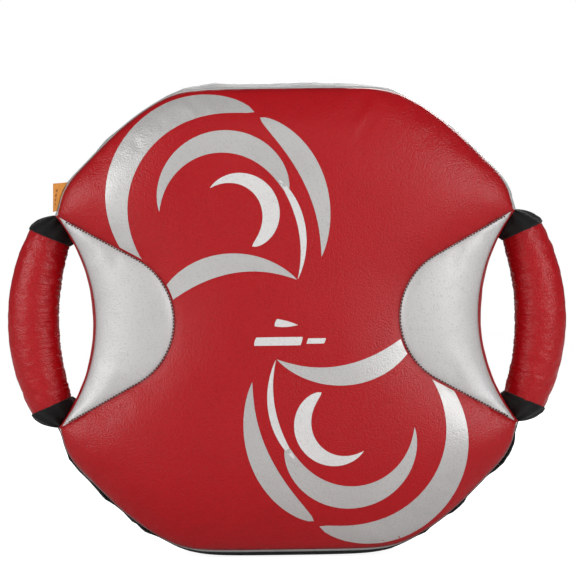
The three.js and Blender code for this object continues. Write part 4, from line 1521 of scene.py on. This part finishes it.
class SHIELD_OT_seams(bpy.types.Operator):
    """Sews the visible rows of stitches round the insets, the side panels and the binding"""
    bl_idname = "shield.seams"
    bl_label = "Seams"

    def execute(self, context):
        tree = surface_of("cover_front_panel", "cover_inset_right", "cover_inset_left")
        for side, word in SIDES.items():
            line = inset_line(side, -0.0008, 0.002)
            line = line[edge_distance(line[:, 0], line[:, 1]) > 0.003]
            points, normals = front_line(tree, line)
            stitch_row(f"stitches_inset_{word}", points, normals, "shield", sewing_thread("dark red"),
                       pitch=0.0030, length=0.0021, width=0.0013)
        c = CORNERS
        reach = 0.0045 / WALL_DEPTH
        for name, first, last, material, slot in [
            ("top", c["upper_right"], c["upper_left"], sewing_thread("grey"), "silver_leather"),
            ("right", c["lower_right"], c["upper_right"], sewing_thread("red"), "red_leather"),
            ("left", c["upper_left"], c["lower_left"], sewing_thread("red"), "red_leather"),
        ]:
            surface = surface_of(f"side_gusset_{name}")
            points = wall_points(list(range(first, last + 1)), [reach])
            laid, normals = [], []
            for p in points:
                hit, normal, _, _ = surface.find_nearest(Vector(p))
                way = Vector((p[0], 0, p[2] - CENTRE_Z))
                laid.append(hit)
                normals.append(normal if normal.dot(way) > 0 else -normal)
            stitch_row(f"stitches_side_{name}", laid, normals, "shield", material)
        ring = outline(BACK, -0.0012)
        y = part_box("back_binding")[1].y
        line = [(x, y, CENTRE_Z + z) for x, z in [*ring, ring[0]]]
        stitch_row("stitches_binding", line, (0, 1, 0), "shield", sewing_thread("black"),
                   pitch=0.0034, length=0.0024)
        return {"FINISHED"}


class SHIELD_OT_label(bpy.types.Operator):
    """Makes the small folded label sewn into the left side seam"""
    bl_idname = "shield.label"
    bl_label = "Side label"

    def execute(self, context):
        low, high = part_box("side_label")
        middle_y = (low.y + high.y) / 2
        top, bottom = high.z - CENTRE_Z, low.z - CENTRE_Z
        across, along = 9, 20
        rim = outline(Section(0.235, 0.2165, 0.179, 0.0985))
        left = rim[rim[:, 0] < 0]
        left = left[np.argsort(left[:, 1])]
        points, uvs = [], []
        loop = [(i / along, 1) for i in range(along + 1)] + [(1 - i / along, -1) for i in range(along + 1)]
        for t, face in loop:
            for k in range(across):
                u = k / (across - 1)
                z = bottom + 0.0006 + (top - bottom - 0.0012) * t
                outer = low.x + 0.0030 + 0.0004 * t
                inner = max(float(np.interp(z, left[:, 1], left[:, 0])) + 0.0006, outer + 0.004)
                x = inner + (outer - inner) * u
                lift = 0.00048 * math.sqrt(max(0.0, 1 - t ** 14)) + 0.00012
                curl = 0.0005 * math.sin(math.pi * t) * u
                slope = 0.0010 * (u - 0.5)
                points.append((x, middle_y - face * lift + curl - 0.0002, CENTRE_Z + z - slope))
                uvs.append((0.016 * (u - 0.5), 0.027 * t))
        obj = new_object("woven_side_label", points, grid_faces(len(loop), across, True), uvs)
        with mesh_work(obj) as work:
            bmesh.ops.holes_fill(work, edges=[e for e in work.edges if e.is_boundary], sides=0)
            bmesh.ops.recalc_face_normals(work, faces=work.faces)
        material = woven_label("orange label", colours().label)
        finish_piece(obj, "shield", material, ["side_label"])
        return {"FINISHED"}


# ---- straps ----

def ribbon(name, path, thickness, width, x, ridge=0.0, rib=0.0022, edge_width=None):
    """A flat strap along a path of (y, z above the middle), with rounded edges and woven ridges."""
    across = max(8, round(width / rib) * 4) if ridge else 12
    path = np.array(path)
    lengths = np.concatenate([[0], np.cumsum(np.linalg.norm(np.diff(path, axis=0), axis=1))])
    count = max(4, int(lengths[-1] / 0.0016))
    stops = np.linspace(0, lengths[-1], count)
    line = np.stack([np.interp(stops, lengths, path[:, k]) for k in range(2)], 1)
    ahead = np.gradient(line, axis=0)
    ahead /= np.linalg.norm(ahead, axis=1)[:, None]
    section = []
    for k in range(across + 1):
        u = 2 * k / across - 1
        half = thickness / 2 * (1 - abs(u) ** (width / thickness * 1.2)) ** 0.5
        section.append((u, half))
    ring = [(u, h) for u, h in section] + [(u, -h) for u, h in reversed(section[1:-1])]
    points, uvs = [], []
    for s, (y, z), (ay, az) in zip(stops, line, ahead):
        wide = width if edge_width is None else edge_width(s / lengths[-1])
        for u, h in ring:
            wave = ridge * (abs(math.sin(math.pi * u * width / 2 / rib)) - 1) if abs(u) < 0.97 else 0.0
            lift = h + math.copysign(wave, h) if h else 0.0
            points.append((x + u * wide / 2, y + az * lift, CENTRE_Z + z - ay * lift))
            uvs.append((u * wide / 2, s))
    obj = new_object(name, points, capped_faces(count, len(ring)), uvs)
    closed_outwards(obj)
    return obj


def webbing(name, path, thickness, width, x, nodes=(), body="shield", ridge=0.00016, **shape):
    """A strap of black webbing, finished and riding on its body."""
    piece = ribbon(name, path, thickness, width, x, ridge, **shape)
    return finish_piece(piece, body, black_webbing(), nodes)


STRAP_X = (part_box("forearm_strap")[0].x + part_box("forearm_strap")[1].x) / 2
WEB = 0.0014
TAIL_LIFT = 0.0047
ARCH_RADIUS = 0.0844
ARCH_Y = -0.0004
RING_PITCH, RING_BAR, RING_TURN, RING_INSIDE = 0.010, 0.0028, 0.003, 0.053
PANEL_LAYER = BACK_FACE + 0.0003 + WEB / 2
LOWER_BAR_Y = PANEL_LAYER + RING_TURN
BAR_RADIUS = ARCH_RADIUS + 0.0009
BAR_ANGLE = math.degrees(math.atan(RING_PITCH / BAR_RADIUS)
                         - math.acos((LOWER_BAR_Y - ARCH_Y) / math.hypot(BAR_RADIUS, RING_PITCH)))


def on_arch(angle, lift=0.0):
    a = math.radians(angle)
    return ARCH_Y + (ARCH_RADIUS + lift) * math.cos(a), (ARCH_RADIUS + lift) * math.sin(a)


def arch_run(start, end, lift, steps=60):
    return [on_arch(start + (end - start) * i / steps, lift) for i in range(steps + 1)]


def turn_round(centre, start, end, steps=14):
    turns = [math.radians(start + (end - start) * i / steps) for i in range(steps + 1)]
    return [(centre[0] + RING_TURN * math.cos(a), centre[1] + RING_TURN * math.sin(a)) for a in turns]


def arch_pad(name):
    """The strap's pad: a filled strip under the arch, sewn across in two channels."""
    low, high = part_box("forearm_pad")
    width, thickness = high.x - low.x, 0.0080
    start, end = -37.6, 45.6
    lift = -WEB / 2 - 0.0004 - thickness / 2
    along, around = 84, 44
    points, uvs, held = [], [], []
    for r in range(along + 1):
        t = r / along
        y, z = on_arch(start + (end - start) * t, lift)
        a = math.radians(start + (end - start) * t)
        end_round = max(0.10, 1 - abs(2 * t - 1) ** 14) ** 0.5
        channel = sum(math.exp(-((t - c) / 0.016) ** 2) for c in (0.36, 0.68))
        half = thickness / 2 * end_round * (1 - 0.62 * channel)
        for k in range(around):
            turn = 2 * math.pi * k / around
            u = math.copysign(abs(math.cos(turn)) ** 0.55, math.cos(turn))
            h = math.copysign(abs(math.sin(turn)) ** 0.9, math.sin(turn))
            wide = width / 2 * (1 - 0.012 * channel) * (0.965 + 0.035 * end_round)
            points.append((STRAP_X + u * wide, y + math.cos(a) * h * half,
                           CENTRE_Z + z + math.sin(a) * h * half))
            uvs.append((k * 0.003, t * 0.12))
            if r in (0, along) or min(abs(t - 0.36), abs(t - 0.68)) < 0.007 or abs(h) < 0.05:
                held.append(len(points) - 1)
    obj = new_object(name, points, capped_faces(along + 1, around), uvs)
    closed_outwards(obj)
    puff_up(obj, held, 0.0003, 0.01)
    finish_piece(obj, "shield", black_cloth(), ["forearm_pad"])


def strap_ring(upper_bar, lower_bar):
    """The strap's ring: a block with its middle cut through and every edge rounded."""
    deselect()
    bpy.ops.mesh.primitive_cube_add(size=1)
    obj = bpy.context.object
    obj.name = "strap_square_ring"
    half_x, half_z = RING_INSIDE / 2 + RING_BAR, (RING_PITCH + RING_BAR) / 2
    with edit_mode():
        bpy.ops.transform.resize(value=(half_x * 2, RING_BAR, half_z * 2))
    select_faces(obj, lambda p: abs(p.normal.y) > 0.9)
    bpy.ops.object.mode_set(mode="EDIT")
    bpy.ops.mesh.inset(thickness=RING_BAR, depth=0)
    bpy.ops.mesh.bridge_edge_loops()
    bpy.ops.mesh.select_all(action="SELECT")
    bpy.ops.mesh.normals_make_consistent(inside=False)
    bpy.ops.object.mode_set(mode="OBJECT")
    apply_modifier(obj, "BEVEL", width=0.0009, segments=4, limit_method="ANGLE")
    middle = ((upper_bar[0] + lower_bar[0]) / 2, (upper_bar[1] + lower_bar[1]) / 2)
    place = Matrix.Translation((STRAP_X, middle[0], CENTRE_Z + middle[1]))
    obj.data.transform(place @ Matrix.Rotation(math.radians(BAR_ANGLE), 4, "X"))
    smooth_by_angle(obj)
    finish_piece(obj, "shield", hard_stuff("black ring plastic", (0.016, 0.016, 0.017), 0.34),
                 ["strap_ring"])


def select_faces(obj, wanted):
    """Leaves only the faces selected that pass the test."""
    make_active(obj)
    with edit_mode("DESELECT"):
        bpy.ops.mesh.select_mode(type="FACE")
    for polygon in obj.data.polygons:
        polygon.select = bool(wanted(polygon))


def smooth_by_angle(obj, degrees=35):
    make_active(obj)
    bpy.ops.object.shade_smooth_by_angle(angle=math.radians(degrees))


class SHIELD_OT_forearm_strap(bpy.types.Operator):
    """Makes the forearm strap with its pad, ring, hook-and-loop closure and sewn ends"""
    bl_idname = "shield.forearm_strap"
    bl_label = "Forearm strap"

    def execute(self, context):
        foot_angle = math.degrees(math.acos((PANEL_LAYER - ARCH_Y) / ARCH_RADIUS))
        foot_z = on_arch(foot_angle)[1]
        upper_bar = on_arch(BAR_ANGLE, BAR_RADIUS - ARCH_RADIUS)
        lower_bar = (LOWER_BAR_Y, upper_bar[1] - RING_PITCH * math.cos(math.radians(BAR_ANGLE)))
        foot = [(PANEL_LAYER, foot_z + 0.024), (PANEL_LAYER, foot_z + 0.010), (PANEL_LAYER, foot_z + 0.003)]
        band = [*foot, *arch_run(foot_angle - 3, BAR_ANGLE + 5, 0),
                *turn_round(upper_bar, BAR_ANGLE - 180, BAR_ANGLE)]
        webbing("strap_band", band, WEB, 0.050, STRAP_X, ["forearm_strap"])
        arch_pad("strap_pad")
        loops = ribbon("strap_loops", arch_run(-40, 14, 0.0016), 0.0012, 0.040, STRAP_X)
        finish_piece(loops, "shield", pile("loop pile", (0.018, 0.018, 0.019)),
                     ["strap_loop_patch"])
        hooks = ribbon("strap_hooks", arch_run(-34, 10, 0.0031), 0.0012, 0.040, STRAP_X)
        finish_piece(hooks, "tail", pile("hook pile", (0.012, 0.012, 0.013), tuft=0.0015),
                     ["strap_hook_patch"])
        free = arch_run(BAR_ANGLE + 2.6, 12, TAIL_LIFT)
        webbing("strap_free_end", free, WEB, 0.046, STRAP_X, ["strap_tail"], "tail")
        self.patch("strap_patch", "strap_patch_upper", 0.0040)
        strap_ring(upper_bar, lower_bar)
        second = PANEL_LAYER + WEB + 0.0004
        tab = [(PANEL_LAYER, lower_bar[1] - 0.028), (PANEL_LAYER, lower_bar[1] - 0.002),
               *turn_round(lower_bar, 180, 0), (second + 0.0012, lower_bar[1] - 0.009),
               (second, lower_bar[1] - 0.016), (second, lower_bar[1] - 0.028)]
        webbing("ring_strap", tab, WEB, 0.050, STRAP_X, ["ring_tab"])
        self.patch("ring_strap_patch", "ring_tab_patch", 0.0030)
        for name, angle in (("strap_tail_end", 8.5), ("strap_tail_root", -31.0)):
            y, z = on_arch(angle, TAIL_LIFT + WEB / 2)
            a = math.radians(angle)
            ends = [(STRAP_X + reach, y, CENTRE_Z + z) for reach in (-0.018, 0.018)]
            straight_row(f"stitches_{name}", *ends, (0, math.cos(a), math.sin(a)), "tail",
                         sewing_thread("grey"), "webbing")
        return {"FINISHED"}

    def patch(self, name, node, inset):
        low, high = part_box(node)
        y = (low.y + high.y) / 2
        path = [(y, low.z - CENTRE_Z), (y, high.z - CENTRE_Z)]
        middle = (low.x + high.x) / 2
        webbing(name, path, high.y - low.y, high.x - low.x, middle, [node], ridge=0.00012, rib=0.0018)
        box_stitches(f"stitches_{name}", (middle, high.y, (low.z + high.z) / 2),
                     (high.x - low.x) / 2 - inset, (high.z - low.z) / 2 - inset, "grey")


# ---- rear grip ----

GRIP_X = (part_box("grip_anchor_upper")[0].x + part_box("grip_anchor_upper")[1].x) / 2
GRIP_AXIS_Y, GRIP_HALF_SPAN, GRIP_BOW = 0.048, 0.064, 0.034
GRIP_RADIUS = (GRIP_HALF_SPAN ** 2 + GRIP_BOW ** 2) / (2 * GRIP_BOW)
GRIP_ANGLE = math.asin(GRIP_HALF_SPAN / GRIP_RADIUS)


class SHIELD_OT_rear_grip(bpy.types.Operator):
    """Makes the padded rear grip, its webbing ends and the two sewn anchors"""
    bl_idname = "shield.rear_grip"
    bl_label = "Rear grip"

    def execute(self, context):
        bow_centre = Vector((GRIP_X, GRIP_AXIS_Y + GRIP_BOW - GRIP_RADIUS, CENTRE_Z))

        def line(part):
            angle = GRIP_ANGLE * part
            way = Vector((0, math.cos(angle), math.sin(angle)))
            full = min(max((1 - abs(part)) / 0.4, 0.0), 1.0)
            return way * GRIP_RADIUS + bow_centre, way, 0.0038 + 0.0069 * full * full * (3 - 2 * full)

        def fold(part, turn, inner):
            place = Vector((math.cos(turn) * 1.5, math.sin(turn) * 1.5, part * 26))
            return 0.0004 * noise.noise(place) * (0.3 + inner)

        def outward(p):
            way = ((p - bow_centre) * Vector((0, 1, 1))).normalized()
            return p - bow_centre - way * GRIP_RADIUS

        obj = stuffed_tube("grip_cover", line, 40, 90, Vector((1, 0, 0)), fold, (0.0011, 0.0006), (0.1, 0.7),
                           0.0003, outward)
        thicken(obj, 0.0012)
        skin = leather("black leather", (0.014, 0.014, 0.015), pebble=0.0009, wrinkle=0.0005, roughness=0.46)
        finish_piece(obj, "rear_grip", skin, ["rear_grip_cover"])
        for level, word in LEVELS.items():
            self.end(level, word)
        return {"FINISHED"}

    def end(self, level, word):
        """One end of the grip: its webbing tail and the anchor that it is sewn to."""
        low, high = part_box(f"grip_anchor_{word}")
        y = (low.y + high.y) / 2
        base = [(y, level * 0.0952), (y, level * 0.0668)]
        webbing(f"anchor_webbing_{word}", base, high.y - low.y, high.x - low.x, GRIP_X,
                [f"grip_anchor_{word}"], ridge=0.00014)
        top = high.y
        path = [(top + 0.0008, 0.0900), (top + 0.0008, 0.0780), (top + 0.0010, 0.0720), (top + 0.0026, 0.0682),
                (GRIP_AXIS_Y + 0.0012, 0.0645), (GRIP_AXIS_Y + 0.0045, 0.0608), (GRIP_AXIS_Y + 0.0085, 0.0578)]
        path = [(across, level * up) for across, up in path]
        tail = webbing(f"grip_webbing_{word}", path, 0.0013, 0.020, GRIP_X, body=None, ridge=0.0,
                       edge_width=lambda t: 0.020 - 0.0135 * min(1.0, max(0.0, (t - 0.35) / 0.45)))
        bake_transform(tail)
        centre = (GRIP_X, top + 0.0014, CENTRE_Z + level * 0.0835)
        box_stitches(f"stitches_anchor_{word}", centre, 0.0075, 0.0055, "grey")
        outer = (GRIP_X, high.y, CENTRE_Z + level * 0.0810)
        box_stitches(f"stitches_anchor_edge_{word}", outer, 0.0130, 0.0120, "black", cross=False)


# ---- zip ----

ZIP_BODIES = {
    "zip_slider": "slider", "zip_puller": "puller", "zip_stop_right": "shield", "zip_stop_left": "shield",
}
TOOTH_PITCH = 0.00128


def zip_tooth():
    """One tooth of the zip: a small block with a bevelled, narrowed head."""
    deselect()
    bpy.ops.mesh.primitive_cube_add(size=1)
    obj = bpy.context.object
    with edit_mode():
        bpy.ops.transform.resize(value=(0.00078, 0.0021, 0.0024))
        bpy.ops.mesh.bevel(offset=0.00022, segments=1, affect="EDGES")
    return taken_apart(obj)


class SHIELD_OT_zip(bpy.types.Operator):
    """Makes the zip in the back panel: tapes, teeth, stops, slider and puller"""
    bl_idname = "shield.zip"
    bl_label = "Zip"

    def execute(self, context):
        shape, shape_faces = zip_tooth()
        plastic = hard_stuff("black zip plastic", (0.010, 0.010, 0.011), 0.38)
        for level, word in LEVELS.items():
            low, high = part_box(f"zip_coil_{word}")
            centre_y, centre_z = (low.y + high.y) / 2, (low.z + high.z) / 2
            count = int((high.x - low.x) / TOOTH_PITCH)
            stretch = (high.x - low.x) / (count * TOOTH_PITCH + 0.0005)
            points, faces = [], []
            for i in range(count):
                x = low.x + TOOTH_PITCH * (i + (0.35 if level > 0 else 0.85)) * stretch
                start = len(points)
                points += [(x + p[0], centre_y + p[1], centre_z + p[2] - level * 0.00012) for p in shape]
                faces += [[start + k for k in f] for f in shape_faces]
            teeth = new_object(f"zip_teeth_{word}", points, faces)
            smooth_by_angle(teeth, 30)
            finish_piece(teeth, "shield", plastic, [f"zip_coil_{word}"])
            low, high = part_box(f"zip_tape_{word}")
            y, z = (low.y + high.y) / 2, (low.z + high.z) / 2 - CENTRE_Z
            half = (high.z - low.z) / 2
            tape = ribbon(f"zip_cloth_{word}", [(y, z - half), (y, z + half)], high.y - low.y,
                          high.x - low.x, (low.x + high.x) / 2)
            finish_piece(tape, "shield", black_cloth_flow(), [f"zip_tape_{word}"])
        metal = hard_stuff("dark zip metal", (0.16, 0.16, 0.165), 0.30, 1.0, 0.4)
        for node, body in ZIP_BODIES.items():
            self.rounded_copy(node, body, metal)
        low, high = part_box("zip_coil_lower")[0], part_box("zip_coil_upper")[1]
        for level, word in LEVELS.items():
            z = (low.z + high.z) / 2 + level * 0.0082
            straight_row(f"stitches_zip_{word}", (low.x - 0.006, BACK_FACE - 0.0001, z),
                         (high.x + 0.006, BACK_FACE - 0.0001, z), (0, 1, 0), "shield", sewing_thread("black"),
                         "black_fabric")
        return {"FINISHED"}

    def rounded_copy(self, node, body, material):
        """A metal part with its edges rounded and polished."""
        deselect()
        source = bpy.data.objects[node]
        obj = bpy.data.objects.new(f"{node}_metal", source.data.copy())
        bpy.context.scene.collection.objects.link(obj)
        make_active(obj)
        with edit_mode():
            bpy.ops.mesh.remove_doubles(threshold=1e-6)
            bpy.ops.mesh.dissolve_limited(angle_limit=math.radians(2))
            bpy.ops.mesh.normals_make_consistent(inside=False)
        apply_modifier(obj, "BEVEL", width=0.00022, segments=2, limit_method="ANGLE",
                       angle_limit=math.radians(40))
        smooth_by_angle(obj, 40)
        finish_piece(obj, body, material, [node])


# ---- inside ----

class SHIELD_OT_inside(bpy.types.Operator):
    """Gives the layers inside the cover and the handles their own materials"""
    bl_idname = "shield.inside"
    bl_label = "Inner layers"

    def execute(self, context):
        foam = foam_cells("dark foam", (0.045, 0.049, 0.055))
        looks = {
            "impact_sheet": foam_cells("orange impact sheet", (0.62, 0.16, 0.03), cell=0.004, roughness=0.5),
            "foam_core": foam, "handle_foam_right": foam, "handle_foam_left": foam, "rear_grip_core": foam,
            "back_board": hard_stuff("white board", (0.72, 0.71, 0.68), 0.5),
            "handle_webbing_right": black_cloth(), "handle_webbing_left": black_cloth(),
        }
        for side in SIDES.values():
            for level in LEVELS.values():
                looks[f"corner_patch_{side}_{level}"] = black_cloth()
        for node, material in looks.items():
            for slot in bpy.data.objects[node].material_slots:
                slot.material = material
        return {"FINISHED"}


# ---- running ----

OPERATORS = [SHIELD_OT_stage, SHIELD_OT_front, SHIELD_OT_prints, SHIELD_OT_sides, SHIELD_OT_back,
             SHIELD_OT_handles, SHIELD_OT_seams, SHIELD_OT_label, SHIELD_OT_forearm_strap,
             SHIELD_OT_rear_grip, SHIELD_OT_zip, SHIELD_OT_inside]


class SHIELD_PT_panel(bpy.types.Panel):
    """Sizes, colours and the steps that build the shield"""
    bl_idname = "SHIELD_PT_panel"
    bl_label = "Strike shield"
    bl_space_type = "VIEW_3D"
    bl_region_type = "UI"
    bl_category = "Shield"

    def draw(self, context):
        layout = self.layout
        for group in (context.scene.shield_sizes, context.scene.shield_colours):
            box = layout.box()
            for key in group.bl_rna.properties.keys():
                if key not in ("rna_type", "name"):
                    box.prop(group, key)
        for operator in OPERATORS:
            layout.operator(operator.bl_idname)


def register():
    for cls in (ShieldSizes, ShieldColours, *OPERATORS, SHIELD_PT_panel):
        bpy.utils.register_class(cls)
    bpy.types.Scene.shield_sizes = bpy.props.PointerProperty(type=ShieldSizes)
    bpy.types.Scene.shield_colours = bpy.props.PointerProperty(type=ShieldColours)


def unregister():
    del bpy.types.Scene.shield_sizes
    del bpy.types.Scene.shield_colours
    for cls in (SHIELD_PT_panel, *reversed(OPERATORS), ShieldColours, ShieldSizes):
        bpy.utils.unregister_class(cls)


def main():
    register()
    for operator in OPERATORS:
        area, name = operator.bl_idname.split(".")
        getattr(getattr(bpy.ops, area), name)()


if __name__ == "__main__":
    main()
